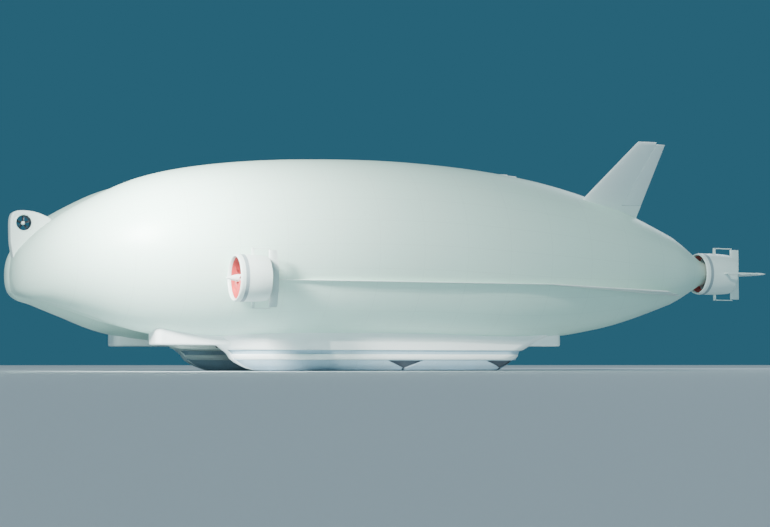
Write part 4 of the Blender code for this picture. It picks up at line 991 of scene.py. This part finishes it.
# %% [markdown]
# ## Ducted propellers
# A ring round a propeller keeps air from spilling past the blade tips, and makes the propeller quieter.
# The ring's wall is like a wing section bent into a circle: a round lip in front and a thin edge
# behind. Its outline is closed, so the grid is closed both ways, like a tyre. A red liner faces the
# blade tips, and a grey band runs round the outside behind the lip. The motor hangs in the middle on
# four thin struts, and the vanes behind steer the jet of air.

# %% Ducts
FORE_DUCT, FORE_LENGTH = (2.62, 2.67, 1.295), 0.46
STERN_DUCT, STERN_LENGTH = (10.72, 1.60, 1.550), 0.58
DUCT_OUTER, DUCT_INNER = 0.33, 0.295
CROSS = ((0, 0, 1), (0, 0, -1), (0, 1, 0), (0, -1, 0))
# Half the vanes' span, how far their front edge is ahead of the hinge, thickness
VANE_REACH, VANE_AHEAD, VANE_THICKNESS = 0.40, 0.012, 0.030
# Brackets: half width, the riser's place as a share of the duct and its length, the pin's radius
ARM_HALF, RISER_SHARE, RISER_LENGTH, PIN_RADIUS = 0.012, 0.55, 0.04, 0.008
# Closed profiles of two thin rings: back from the lip, radius
FAN_LINER = ((0.046, 0.2965), (0.046, 0.2935), (0.200, 0.2935), (0.200, 0.2965))
LIP_BAND = ((0.070, 0.3280), (0.071, 0.3312), (0.124, 0.3312), (0.125, 0.3280))
# Vanes: name, direction of the span, place of the hinge, chord, how far the ends are swept
FORE_VANES = (("fore_vane", (0, 0, 1), 0.515, 0.14, 0.03),)
STERN_VANES = (("stern_rudder_vane", (0, 0, 1), 0.645, 0.15, 0.0),
               ("stern_level_vane", (0, 1, 0), 0.855, 0.325, 0.14))


def duct_outline(length):
    """Half an ellipse for the lip, then the outer side closing in towards a thin rear edge.

    The half ellipse is 2.5 times as long as half the wall is thick. Behind 0.45 of the duct's length
    both sides of the wall close in, by the square of the distance from there.
    """
    lip = (DUCT_OUTER - DUCT_INNER) / 2
    turn = np.linspace(np.pi, 0, 15)
    nose = np.column_stack([2.5 * lip * (1 - np.sin(turn)), DUCT_INNER + lip + lip * np.cos(turn)])
    along = np.linspace(0.12, 1.0, 14)
    narrowing = lip * np.clip((along - 0.45) / 0.55, 0, 1) ** 2
    outer = np.column_stack([along * length, DUCT_OUTER - 1.1 * narrowing])
    inner = np.column_stack([along * length, DUCT_INNER + 0.5 * narrowing])
    return np.concatenate([nose, outer, inner[::-1]])


def vane_arm(centre, length, across, hinge_back):
    """A bracket from the duct's outside that holds one end of a vane: a riser, an arm and a pin."""
    place = frame_of(centre, AFT, across)
    start = length * RISER_SHARE
    riser = block((start, -ARM_HALF, DUCT_OUTER - 0.014),
                  (start + RISER_LENGTH, ARM_HALF, VANE_REACH + 0.024))
    arm = block((start + RISER_LENGTH / 2, -ARM_HALF, VANE_REACH + 0.010),
                (hinge_back + 0.02, ARM_HALF, VANE_REACH + 0.0235))
    pin = turned(((VANE_REACH + 0.0008, PIN_RADIUS), (VANE_REACH + 0.012, PIN_RADIUS)),
                 (hinge_back, 0, 0), 16, "Z")
    return [placed(part, place) for part in (riser, arm, pin)]


def vane(centre, across, hinge_back, chord, sweep):
    """A wing section along the vane's span, with both ends of its rear edge swept forwards."""
    out = np.linspace(-VANE_REACH, VANE_REACH, 25)
    ends = np.clip((np.abs(out) / VANE_REACH - 0.35) / 0.65, 0, 1)
    panel = wing_panel(out, -VANE_AHEAD, chord + VANE_AHEAD - sweep * ends, VANE_THICKNESS)
    return placed(panel, frame_of(centre + (hinge_back, 0, 0), AFT, across))


for word, side in SIDES:
    for label, (back, out, up), length, vanes in (("fore", FORE_DUCT, FORE_LENGTH, FORE_VANES),
                                                  ("stern", STERN_DUCT, STERN_LENGTH, STERN_VANES)):
        centre = at(back, side * out, up)
        node_name = f"{label}_duct_{word}"
        ring = turned(duct_outline(length), centre, 112, "X", ring=True)
        piece(f"{label}_shroud_{word}", [ring], painted_panel, stands_for=[node_name])
        for band, profile, paint in (("liner", FAN_LINER, blade_paint), ("lip_band", LIP_BAND, duct_band)):
            piece(f"{label}_{band}_{word}", [turned(profile, centre, 112, "X", ring=True)], paint,
                  stands_for=[node_name])
        brackets = []
        for name, across, hinge_back, chord, sweep in vanes:
            for end in (np.array(across), -np.array(across)):
                brackets += vane_arm(centre, length, end, hinge_back)
            body = f"{name}_{word}"
            piece(f"{name}_skin_{word}", [vane(centre, across, hinge_back, chord, sweep)],
                  painted_panel, body=body, stands_for=[body])
        rounded(piece(f"{label}_vane_brackets_{word}", brackets, painted_panel,
                      stands_for=[node_name]), 0.002, 2)
print("ducts and vanes done")

# %% [markdown]
# ## Motor pods and pylons
# A pod in the middle of each duct holds the motor, and four struts carry it. It is a turned shape, so
# a table of three to five radii is all that it needs. The struts and the pylon that carries the whole
# duct stand in the stream of air, so they have the section of a wing, made by the same function as the
# vanes.

# %% Motor pods and pylons
# Share of the pod's length, radius
FORE_POD = ((0.0, 0.055), (0.25, 0.075), (0.65, 0.070), (0.92, 0.035), (1.0, 0.012))
STERN_POD = ((0.0, 0.150), (0.5, 0.115), (1.0, 0.075))
# Name, place of the lip, shape, the pod's two ends and the struts' middle back from the lip
PODS = (("fore", FORE_DUCT, FORE_POD, (0.135, 0.42), 0.24),
        ("stern", STERN_DUCT, STERN_POD, (0.1803, 0.3003), 0.2303))
STRUT_INNER, STRUT_CHORD, STRUT_THICKNESS = 0.03, 0.06, 0.017
# Both ends of the span measured sideways, front edge behind the lip, chord, thickness, rise
PYLON_SPAN, PYLON_FRONT, PYLON_CHORD = (2.10, FORE_DUCT[1] - 0.31), 0.06, 0.34
PYLON_THICKNESS, PYLON_RISE = 0.072, 0.020


def motor_pod(centre, shape, ends, struts_back, rows=24):
    """A turned body read from its table as a curve, and four struts with the section of a wing."""
    share = np.linspace(0, 1, rows)
    profile = np.column_stack([ends[0] + share * (ends[1] - ends[0]), curve_through(shape, share)[:, 0]])
    strut = wing_panel((STRUT_INNER, DUCT_INNER + 0.002), struts_back - STRUT_CHORD / 2,
                       STRUT_CHORD, STRUT_THICKNESS)
    struts = [placed(strut, frame_of(centre, AFT, across)) for across in CROSS]
    return [turned(profile, centre, 56)] + struts


for word, side in SIDES:
    for label, (back, out, up), shape, ends, struts_back in PODS:
        pod = motor_pod(at(back, side * out, up), shape, ends, struts_back)
        piece(f"{label}_motor_{word}", pod, dark_metal, stands_for=[f"{label}_pod_{word}"])
    pylon = wing_panel(np.linspace(*PYLON_SPAN, 12), PYLON_FRONT, PYLON_CHORD, PYLON_THICKNESS, 20)
    place = frame_of(at(FORE_DUCT[0], 0, FORE_DUCT[2] + PYLON_RISE), AFT, (0, side, 0))
    piece(f"fore_pylon_skin_{word}", [placed(pylon, place)], painted_panel,
          stands_for=[f"fore_pylon_{word}"])
print("motor pods and pylons done")

# %% [markdown]
# ## Propellers
# The tip of a blade moves much faster than its root, so the blade is twisted to meet the air at a like
# angle everywhere. A flat blade could be bent by a modifier, but then its twist would be hard to read.
# Here every section is turned by the pitch in a short table. One blade is worked out once, and copies
# of it are turned evenly round the hub.

# %% Propellers
BLADES, BLADE_RADIUS, HUB_RADIUS, BLADE_CHORD = 6, 0.285, 0.06, 0.135
# As a share of the chord
BLADE_THICKNESS = 0.11
# Share of the span, degrees
BLADE_PITCH = ((0, 58), (0.52, 36), (1.0, 20))
# Share of the span, share of the chord
BLADE_WIDTH = ((0, 0.8), (0.52, 1.0), (1.0, 0.66))


def blade(radius, hub, chord, spans=14, per_side=9):
    """One twisted blade: wing sections turned steeply near the hub and flatter near the tip.

    The pitch and the width are read from their tables as curves, and the last tenth of the span is
    rounded off by a quarter circle.
    """
    share = np.concatenate([np.linspace(0, 0.9, spans - 6),
                            0.9 + 0.1 * np.sin(np.linspace(0.25, np.pi / 2, 6))])
    out = hub * 0.6 + share * (radius - hub * 0.6)
    pitch = np.radians(curve_through(BLADE_PITCH, share))
    past = ((share - 0.9) / 0.101).clip(0)
    tip = np.sqrt(np.clip(1 - past**2, 0.02, 1))[:, None]
    wide = chord * curve_through(BLADE_WIDTH, share) * tip
    s = np.linspace(0, 1, per_side) ** 1.4
    half = wing_half(s) * BLADE_THICKNESS
    along = wide * (np.concatenate([s, s[-2:0:-1]]) - 0.5)
    through = wide * np.concatenate([half, -half[-2:0:-1]])
    back = along * np.sin(pitch) + through * np.cos(pitch)
    across = along * np.cos(pitch) - through * np.sin(pitch)
    rise = np.repeat(out[:, None], back.shape[1], axis=1)
    return grid(np.stack([back, across, rise], axis=-1))


def fan(centre, radius, hub, blades, chord, turn=Matrix.Identity(4)):
    """The same blade repeated evenly round the axis, then carried into place."""
    one = blade(radius, hub, chord)
    place = Matrix.Translation(Vector(centre)) @ turn
    return [placed(one, place @ Matrix.Rotation(2 * math.pi * number / blades, 4, "X"))
            for number in range(blades)]


def rounded_nose(table, rows=22):
    """A short profile table read as a smooth curve against the square root of its length."""
    table = np.asarray(table, float)
    length = table[:, 0] - table[0, 0]
    keyed = np.column_stack([np.sqrt(length), table[:, 1]])
    root = np.linspace(0, keyed[-1, 0], rows)
    return np.column_stack([root**2 + table[0, 0], curve_through(keyed, root)[:, 0]])


FORE_SPINNER = ((-0.22, 0.002), (-0.16, 0.026), (-0.05, 0.052), (0.0, 0.058), (0.0342, 0.055))
STERN_SPINNER = ((-0.19, 0.002), (-0.12, 0.036), (-0.03, 0.062), (0.0442, 0.072))
# Name, place of the lip, the blades' middle back from the lip, spinner, 1 if its tip points forwards
FANS = (("fore", FORE_DUCT, 0.10, FORE_SPINNER, 1), ("stern", STERN_DUCT, 0.3453, STERN_SPINNER, -1))
for word, side in SIDES:
    for label, (back, out, up), blades_back, table, way in FANS:
        centre = at(back + blades_back, side * out, up)
        body = f"{label}_fan_{word}"
        piece(f"{label}_blades_{word}", fan(centre, BLADE_RADIUS, HUB_RADIUS, BLADES, BLADE_CHORD),
              blade_paint, body=body, stands_for=[body])
        spinner = turned(rounded_nose(table) * (way, 1), centre, 40)
        piece(f"{label}_spinner_{word}", [spinner], painted_panel, body=body, stands_for=[body])
print("propellers:", BLADES, "blades each")

# %% [markdown]
# ## Thruster on the nose
# A small propeller lies crosswise in an upright plate on the nose and pushes the nose left or right.
# The plate is a grid that is closed both ways: each column runs from the tunnel's edge out to the rim
# on one side, over the rim, and back to the tunnel on the other side. How far the rim stands from the
# tunnel's axis is read from a smooth curve through eleven points.

# %% The plate and its tunnel
BOW_CENTRE, BOW_HOLE = np.array((0.207, 2.175)), 0.112
# Side outline: back from the nose, up from the floor
BOW_OUTLINE = np.array([
    (0.12, 1.55), (0.030, 1.80), (0.010, 2.05), (0.012, 2.235), (0.045, 2.320), (0.13, 2.355),
    (0.30, 2.354), (0.46, 2.315), (0.62, 2.235), (0.735, 2.10), (0.60, 1.80),
])
# Rows on one side of the plate: metres beyond the tunnel's edge, metres from the middle plane
BOW_LIP = ((0.0, 0.082), (0.001, 0.095), (0.005, 0.104), (0.012, 0.108), (0.020, 0.106), (0.025, 0.098))
# Rows on one side of the plate: metres inside the rim, metres from the middle plane
BOW_RIM = ((0.030, 0.098), (0.016, 0.096), (0.006, 0.089), (0.001, 0.080), (0.0, 0.070))


def bow_reach(angle):
    """How far the outline stands from the tunnel's axis at an angle, read from a smooth closed curve."""
    closed = np.concatenate([BOW_OUTLINE[-2:], BOW_OUTLINE, BOW_OUTLINE[:3]])
    key = np.concatenate([[0], np.cumsum(np.linalg.norm(np.diff(closed, axis=0), axis=1))])
    off = curve_through(np.column_stack([key, closed]), np.linspace(key[2], key[-3], 900)) - BOW_CENTRE
    turn = np.arctan2(off[:, 1], off[:, 0])
    order = np.argsort(turn)
    return np.interp(angle, turn[order], np.hypot(off[:, 0], off[:, 1])[order], period=2 * np.pi)


def bow_plate(columns=144):
    """The plate as rows that run from tunnel to rim on one side and back on the other."""
    angle = np.linspace(0, 2 * np.pi, columns, endpoint=False)
    reach = bow_reach(angle)
    rows = [(BOW_HOLE + beyond + 0 * angle, out) for beyond, out in BOW_LIP]
    rows += [(reach - inside, out) for inside, out in BOW_RIM]
    rows = [(radius, -out) for radius, out in rows] + rows[::-1]
    radius = np.array([row[0] for row in rows])
    y = np.repeat(np.array([[row[1]] for row in rows]), columns, axis=1)
    x = BOW_CENTRE[0] - MIDDLE + radius * np.cos(angle)
    z = BOW_CENTRE[1] + radius * np.sin(angle)
    return grid(np.stack([x, y, z], axis=-1), ring=True)


bow_centre = at(BOW_CENTRE[0], 0, BOW_CENTRE[1])
made = piece("bow_plate", [bow_plate()], painted_panel, stands_for=["bow_housing"])
# A dark liner paints in the shade inside the thruster's tunnel.
# The tunnel's closed profile: sideways, radius
BOW_SHADE_LINER = ((-0.084, 0.1105), (0.084, 0.1105), (0.084, 0.1135), (-0.084, 0.1135))
piece("bow_shade_liner", [turned(BOW_SHADE_LINER, bow_centre, 72, "Y", ring=True)], dark_metal,
      stands_for=["bow_housing"])
print("points in the bow plate:", len(made.data.vertices))

# %% The small motor and its propeller
BOW_MOTOR = ((0.012, 0.028), (0.016, 0.030), (0.060, 0.0275), (0.078, 0.020), (0.085, 0.008))
BOW_SPINNER = ((-0.055, 0.001), (-0.045, 0.021), (-0.03, 0.029), (0.0112, 0.030))
BOW_ARMS, BOW_BLADES, BOW_BLADE_RADIUS, BOW_HUB_RADIUS, BOW_CHORD = 3, 5, 0.104, 0.03, 0.034
bow_arm = wing_panel((0.01, BOW_HOLE - 0.0005), 0.030, 0.030, 0.008)
motor = [turned(rounded_nose(BOW_MOTOR), bow_centre, 32, "Y")]
for number in range(BOW_ARMS):
    angle = 2 * math.pi * number / BOW_ARMS + math.pi / 2
    outwards = (math.cos(angle), 0, math.sin(angle))
    motor.append(placed(bow_arm, frame_of(bow_centre, (0, 1, 0), outwards)))
piece("bow_motor_skin", motor, dark_metal, stands_for=["bow_motor"])
crosswise = Matrix.Rotation(math.pi / 2, 4, "Z")
blades = fan(bow_centre + (0, -0.012, 0), BOW_BLADE_RADIUS, BOW_HUB_RADIUS, BOW_BLADES, BOW_CHORD,
             crosswise)
piece("bow_blades", blades, dark_metal, body="bow_fan", stands_for=["bow_fan"])
piece("bow_spinner", [turned(rounded_nose(BOW_SPINNER), bow_centre, 32, "Y")], painted_panel,
      body="bow_fan", stands_for=["bow_fan"])
print("bow thruster done")

# %% [markdown]
# ## Cabin
# The crew sits in a small cabin in front of a long load bay, both hung between the skids. Each is a row
# of sections with rounded lower corners. The walls could be modelled one by one round their openings,
# but it is simpler to make the shell whole and to cut the rooms, the windows and the doorway out of it
# afterwards. Rubber frames go round the windows, and a dark pane stands behind them.

# %% Sections and window frames
CABIN_WALL, CEILING, CABIN_CORNER = 0.018, 0.500, 0.03


def cabin_rings(back, half, floor, top):
    """Sections with a quarter circle at both lower corners and straight sides up to the top.

    The corner's radius is the same all along, but never more than 0.3 of the half width.
    """
    back, half, floor, top = (np.asarray(v, float)[:, None] for v in (back, half, floor, top))
    radius = np.minimum(CABIN_CORNER, half * 0.3)
    turn = np.linspace(0, np.pi / 2, 7)
    side = half - radius + radius * np.sin(turn)
    low = floor + radius - radius * np.cos(turn)
    out = np.concatenate([side, half, -half, -side[:, ::-1]], axis=1)
    up = np.concatenate([low, top, top, low[:, ::-1]], axis=1)
    return np.stack([np.repeat(back - MIDDLE, out.shape[1], axis=1), out, up], axis=-1)


def window_frame(half_long, half_high, band=0.007):
    """A rubber frame round a window in the local XZ plane: its outline, repeated round a square bar."""
    rings = []
    for wider, proud in ((0.0, -0.004), (0.0, 0.003), (band, 0.003), (band, -0.004)):
        flat = rounded_rectangle(half_long + wider, half_high + wider, 0.008 + wider)
        rings.append(np.stack([flat[:, 0], np.full(len(flat), proud), flat[:, 1]], axis=-1))
    return grid(np.array(rings), ring=True)


# %% Flight deck: its shell and the room inside
# Back from the nose, half width, floor height, roof height
DECK_ROWS = ((2.4500, 0.121, 0.4040, 0.4930), (2.4520, 0.127, 0.3985, 0.4975),
             (2.458, 0.137, 0.391, 0.508), (2.50, 0.185, 0.350, 0.560), (2.62, 0.240, 0.328, 0.660),
             (2.80, 0.265, 0.320, 0.700), (3.36, 0.265, 0.320, 0.700), (3.5497, 0.300, 0.120, 0.700))
# Back from the nose, half width and floor height outside the room's walls
ROOM_ROWS = ((2.468, 0.130, 0.395), (2.5162, 0.185, 0.350), (2.62, 0.240, 0.328), (2.80, 0.265, 0.320),
             (3.36, 0.265, 0.320), (3.50, 0.2908, 0.1724))
# Back from the nose: where the rounded nose ends, where the level floor ends, and the rear
DECK_NOSE_END, DECK_LEVEL_END, DECK_REAR = 2.80, 3.36, 3.5497
DECK_ROOF = 0.700


def deck_shell():
    """Sections read from the table: as a curve over the rounded nose, and straight behind it."""
    back = np.concatenate([(2.4500, 2.4507, 2.4520, 2.4545), np.linspace(2.458, DECK_NOSE_END, 34),
                           np.linspace(DECK_NOSE_END, DECK_LEVEL_END, 10)[1:],
                           np.linspace(DECK_LEVEL_END, DECK_REAR, 8)[1:]])
    half, floor, top = curve_through(DECK_ROWS, back).T
    rows, straight_half, straight_floor, _ = np.array(DECK_ROWS[-3:]).T
    behind = back > DECK_NOSE_END
    half = np.where(behind, np.interp(back, rows, straight_half), half)
    floor = np.where(behind, np.interp(back, rows, straight_floor), floor)
    rings = cabin_rings(back, half, floor, np.minimum(top, DECK_ROOF))
    return grid(rings, along=back, around=np.linspace(0, 1.5, rings.shape[1] + 1))


def deck_room():
    """The room keeps one wall's thickness inside the shell's sides and above its floor."""
    back, half, floor = np.array(ROOM_ROWS).T
    return grid(cabin_rings(back, half - CABIN_WALL, floor + CABIN_WALL, np.full(len(back), CEILING)))


# %% Flight deck: the windows and the doorway
WINDOW_LOW, WINDOW_HIGH, WINDOW_LENGTH, FRAME_HALF_HIGH = 0.432, 0.490, 0.10, 0.029
SIDE_WINDOWS, FRONT_WINDOW = (2.66, 2.785, 2.91), (0.012, 0.098)
WINDOW_MIDDLE = (WINDOW_LOW + WINDOW_HIGH) / 2
DOOR_FRONT, DOOR_LENGTH, DOOR_LOW, DOOR_HIGH, DOOR_FACE = 3.10, 0.115, 0.345, 0.495, -0.265
# Back from the nose, sideways
DOOR_HINGE = (3.097, -0.2722)


def side_window(side, start):
    """The box that cuts a side window, and a frame turned to lie along the wall there."""
    near, far = sorted((side * 0.20, side * 0.40))
    hole = block(at(start, near, WINDOW_LOW), at(start + WINDOW_LENGTH, far, WINDOW_HIGH))
    ends = curve_through(DECK_ROWS, np.array((start, start + WINDOW_LENGTH)))[:, 0]
    centre = at(start + WINDOW_LENGTH / 2, side * ends.mean(), WINDOW_MIDDLE)
    along = (-side * WINDOW_LENGTH, -(ends[1] - ends[0]), 0)
    return hole, placed(window_frame(WINDOW_LENGTH / 2, FRAME_HALF_HIGH), frame_of(centre, along, UP))


def front_window(side):
    """The box that cuts a front window, and its narrower frame on the flat of the nose."""
    near, far = sorted(side * edge for edge in FRONT_WINDOW)
    hole = block(at(2.40, near, WINDOW_LOW), at(2.52, far, WINDOW_HIGH))
    centre = at(2.4505, side * sum(FRONT_WINDOW) / 2, WINDOW_MIDDLE)
    bars = window_frame((FRONT_WINDOW[1] - FRONT_WINDOW[0]) / 2, FRAME_HALF_HIGH, 0.005)
    return hole, placed(bars, frame_of(centre, (0, -1, 0), UP))


windows = []
for side in (-1, 1):
    windows += [side_window(side, start) for start in SIDE_WINDOWS] + [front_window(side)]
doorway = block(at(DOOR_FRONT - SWING_GAP, -0.40, DOOR_LOW - SWING_GAP),
                at(DOOR_FRONT + DOOR_LENGTH + SWING_GAP, -0.20, DOOR_HIGH + SWING_GAP))
holes = [deck_room()] + [hole for hole, _ in windows] + [doorway]
print("cuts in the flight deck:", len(holes))

# %% Flight deck: cut and framed
piece("flight_deck_skin", [deck_shell()], jointed_panel,
      stands_for=["flight_deck"], holes=holes)
piece("window_frames", [bars for _, bars in windows], dark_metal, stands_for=["flight_deck"])
chin = block((-0.022, -0.050, -0.004), (0.022, 0.050, 0.002))
piece("chin_window", [placed(chin, frame_of(at(2.480, 0, 0.3715), (0.042, 0, -0.041), (-1, 0, -1)))],
      glazing, stands_for=["flight_deck"])
pads = [block(at(DOOR_HINGE[0] - 0.008, DOOR_HINGE[1] + 0.0053, up - 0.008),
              at(DOOR_HINGE[0] - 0.0006, DOOR_FACE + 0.005, up + 0.008))
        for up in (DOOR_LOW + 0.03, DOOR_HIGH - 0.03)]
piece("door_hinge_pads", pads, dark_metal, stands_for=["flight_deck"])
print("window frames:", len(windows), "and hinge pads:", len(pads))

# %% [markdown]
# ## Crew door
# The door is hinged outside the wall, along its front edge, and swings forwards. It fills the hole that
# was cut for it, less a narrow gap. As the leaf starts to turn, its inner rear corner moves towards
# the rear of the doorway. A plain box would nearly touch there, so the leaf's rear edge is slanted.

# %% Crew door
door_rear, door_inside = DOOR_FRONT + DOOR_LENGTH, DOOR_FACE + CABIN_WALL
# Plan of the leaf: back from the nose, sideways
DOOR_PLAN = ((DOOR_FRONT, DOOR_FACE), (door_rear, DOOR_FACE), (door_rear - 0.005, door_inside),
             (DOOR_FRONT, door_inside))
leaf = grid([[at(*corner, up) for corner in DOOR_PLAN] for up in (DOOR_LOW, DOOR_HIGH)])
rounded(piece("crew_door_skin", [leaf], painted_panel, body="crew_door", stands_for=["crew_door"]), 0.002)
bar_low, bar_high, bar_radius = DOOR_LOW + 0.004, DOOR_HIGH - 0.004, 0.005
hinge = turned(((bar_low, bar_radius), (bar_high, bar_radius)), at(*DOOR_HINGE, 0), 20, "Z")
strap = block(at(3.100, DOOR_HINGE[1] - 0.002, bar_low), at(3.128, DOOR_FACE + 0.001, bar_high))
handle = block(at(3.184, DOOR_FACE - 0.004, 0.412), at(3.208, DOOR_FACE + 0.001, 0.419))
rounded(piece("crew_door_fittings", [hinge, strap, handle], dark_metal, body="crew_door",
              stands_for=["crew_door"]), 0.001, 2)
pane = block(at(3.138, DOOR_FACE - 0.0015, 0.440), at(3.180, DOOR_FACE + 0.001, 0.480))
rounded(piece("crew_door_pane", [pane], glazing, body="crew_door", stands_for=["crew_door"]), 0.001, 2)
print("crew door done, hung at", DOOR_HINGE)

# %% [markdown]
# ## Load bay and ramp
# The bay is a long box with one section all along, stiffened by ribs outside. It could be built of
# separate walls, but a closed shell with a smaller box cut out of it gives walls that meet properly.
# The cut runs out through the rear end, where the ramp closes it. The ramp turns on a round bar along
# its foot.

# %% Load bay
BAY_FRONT, BAY_REAR, BAY_FLOOR, BAY_HALF, BAY_TOP = 3.55, 6.00, 0.12, 0.30, 0.85
RAMP_AXIS, RAMP_HALF = (6.015, 0.130), 0.009
# Half a rib's length, its two heights, how far it stands out of the wall
RIB_HALF, RIB_LOW, RIB_HIGH, RIB_PROUD = 0.012, 0.165, 0.60, 0.010


def bay_shell():
    """One section repeated along the bay."""
    back = np.linspace(BAY_FRONT, BAY_REAR, 12)
    half, floor, top = (np.full(len(back), size) for size in (BAY_HALF, BAY_FLOOR, BAY_TOP))
    rings = cabin_rings(back, half, floor, top)
    return grid(rings, along=back, around=np.linspace(0, 2.6, rings.shape[1] + 1))


def bay_ribs():
    """Ribs along both walls, and the two blocks below the doorway that carry the ramp's hinge."""
    ribs = []
    for start in np.linspace(BAY_FRONT + 0.10, BAY_REAR - 0.06, 8):
        for side in (-1, 1):
            near, far = sorted((side * (BAY_HALF - 0.004), side * (BAY_HALF + RIB_PROUD)))
            ribs.append(block(at(start - RIB_HALF, near, RIB_LOW), at(start + RIB_HALF, far, RIB_HIGH)))
    for side in (-0.20, 0.20):
        ribs.append(block(at(BAY_REAR - 0.01, side - 0.02, 0.122),
                          at(RAMP_AXIS[0] - RAMP_HALF - 0.0008, side + 0.02, 0.138)))
    return ribs


bay = block(at(BAY_FRONT + CABIN_WALL, CABIN_WALL - BAY_HALF, BAY_FLOOR + 0.020),
            at(BAY_REAR + 0.1, BAY_HALF - CABIN_WALL, CEILING))
piece("load_bay_skin", [bay_shell()], jointed_panel,
      stands_for=["payload_module"], holes=[bay])
ribs = bay_ribs()
rounded(piece("load_bay_ribs", ribs, painted_panel, stands_for=["payload_module"]), 0.003, 2)
print("load bay done, with", len(ribs), "ribs and hinge blocks")

# %% Ramp
ramp_reach = BAY_HALF - 0.004
ramp = block(at(RAMP_AXIS[0] - RAMP_HALF, -ramp_reach, RAMP_AXIS[1]),
             at(RAMP_AXIS[0] + RAMP_HALF, ramp_reach, CEILING))
rounded(piece("ramp_skin", [ramp], jointed_panel, body="cargo_ramp",
              stands_for=["cargo_ramp"]), 0.003)
fittings = [turned(((-ramp_reach, RAMP_HALF), (ramp_reach, RAMP_HALF)),
                   at(RAMP_AXIS[0], 0, RAMP_AXIS[1]), 28, "Y")]
for side in (-0.18, -0.06, 0.06, 0.18):
    fittings.append(block(at(5.996, side - 0.010, 0.175), at(6.007, side + 0.010, 0.465)))
rounded(piece("ramp_ribs_and_hinge", fittings, dark_metal, body="cargo_ramp",
              stands_for=["cargo_ramp"]), 0.002, 2)
print("ramp done, hinged at", RAMP_AXIS)

# %% [markdown]
# ## The pane that is still CAD
# The pane behind the windows has the right shape already, so it only gets its finish. All the other CAD
# nodes are hidden by the pieces that stand for them.

# %% Paint the pane
window_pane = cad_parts["flight_deck_glazing"]
window_pane.data.materials.clear()
window_pane.data.materials.append(glazing)
print("CAD nodes left showing: flight_deck_glazing")

# %% [markdown]
# ## Stage
# A pale floor, a soft sky, and one main light from the upper left. A lamp near the nose makes the
# bright patch on the bow, one behind the craft lights its edges, and a weak, nearly level light keeps
# the shade between the skids open. The camera stands at floor level in the direction from which the
# photograph was taken, far enough off for a long lens, so that the tail looks nearly as large as the
# nose.

# %% Floor and sky
FLOOR_REACH = 150
ground = bpy.data.materials.new("studio_floor")
ground.use_nodes = True
ground.node_tree.nodes["Principled BSDF"].inputs["Base Color"].default_value = (0.60, 0.68, 0.72, 1.0)
ground.node_tree.nodes["Principled BSDF"].inputs["Roughness"].default_value = 0.9
corners = [(FLOOR_REACH * x, FLOOR_REACH * y, 0) for x, y in ((-1, -1), (1, -1), (1, 1), (-1, 1))]
floor_mesh = bpy.data.meshes.new("studio_floor")
floor_mesh.from_pydata(corners, [], [(0, 1, 2, 3)])
floor_mesh.materials.append(ground)
floor_plane = bpy.data.objects.new("studio_floor", floor_mesh)
bpy.context.scene.collection.objects.link(floor_plane)

world = bpy.data.worlds.new("studio_sky")
world.use_nodes = True
world.node_tree.nodes["Background"].inputs["Color"].default_value = (0.045, 0.165, 0.25, 1.0)
world.node_tree.nodes["Background"].inputs["Strength"].default_value = 0.75
bpy.context.scene.world = world
print("floor:", 2 * FLOOR_REACH, "m across")


# %% Lamps
def lamp(name, kind, place, aim, spread, power, colour, beam=180):
    """A lamp at one place that faces another.

    spread is an area lamp's side in metres, or the width in degrees from which a sun's light comes.
    beam is the angle of an area lamp's cone.
    """
    light = bpy.data.lights.new(name, kind)
    if kind == "SUN":
        light.angle = math.radians(spread)
    else:
        light.size = spread
        light.spread = math.radians(beam)
    light.energy = power
    light.color = colour
    made = bpy.data.objects.new(name, light)
    made.location = place
    made.rotation_euler = (Vector(aim) - Vector(place)).to_track_quat("-Z", "Y").to_euler()
    made.visible_camera = False
    bpy.context.scene.collection.objects.link(made)


lamp("key_light", "SUN", (-12, -11, 10.5), (0, 0, 0), 1.5, 2.1, (1.0, 1.0, 0.95))
lamp("nose_light", "AREA", (-7.4, -5.6, 4.2), (-3.9, -2, 2.2), 1.3, 330, (1.0, 0.99, 0.97), 60)
lamp("rear_light", "AREA", (16, 12, 12), (1, 0, 1.8), 8.0, 900, (0.80, 0.93, 1.0))
lamp("low_fill", "SUN", (-9, -20, 1.2), (0, 0, 0), 25, 1.3, (0.66, 0.90, 1.0))
print("lamps:", len(bpy.data.lights))

# %% Camera
camera_data = bpy.data.cameras.new("camera")
camera_data.lens = 85.5
camera_data.clip_end = 400
camera = bpy.data.objects.new("camera", camera_data)
camera.location = (-10.99, -26.86, 0.10)
aim = Vector((0.02, 0.0, 1.70))
camera.rotation_euler = (aim - camera.location).to_track_quat("-Z", "Y").to_euler()
bpy.context.scene.collection.objects.link(camera)
bpy.context.scene.camera = camera
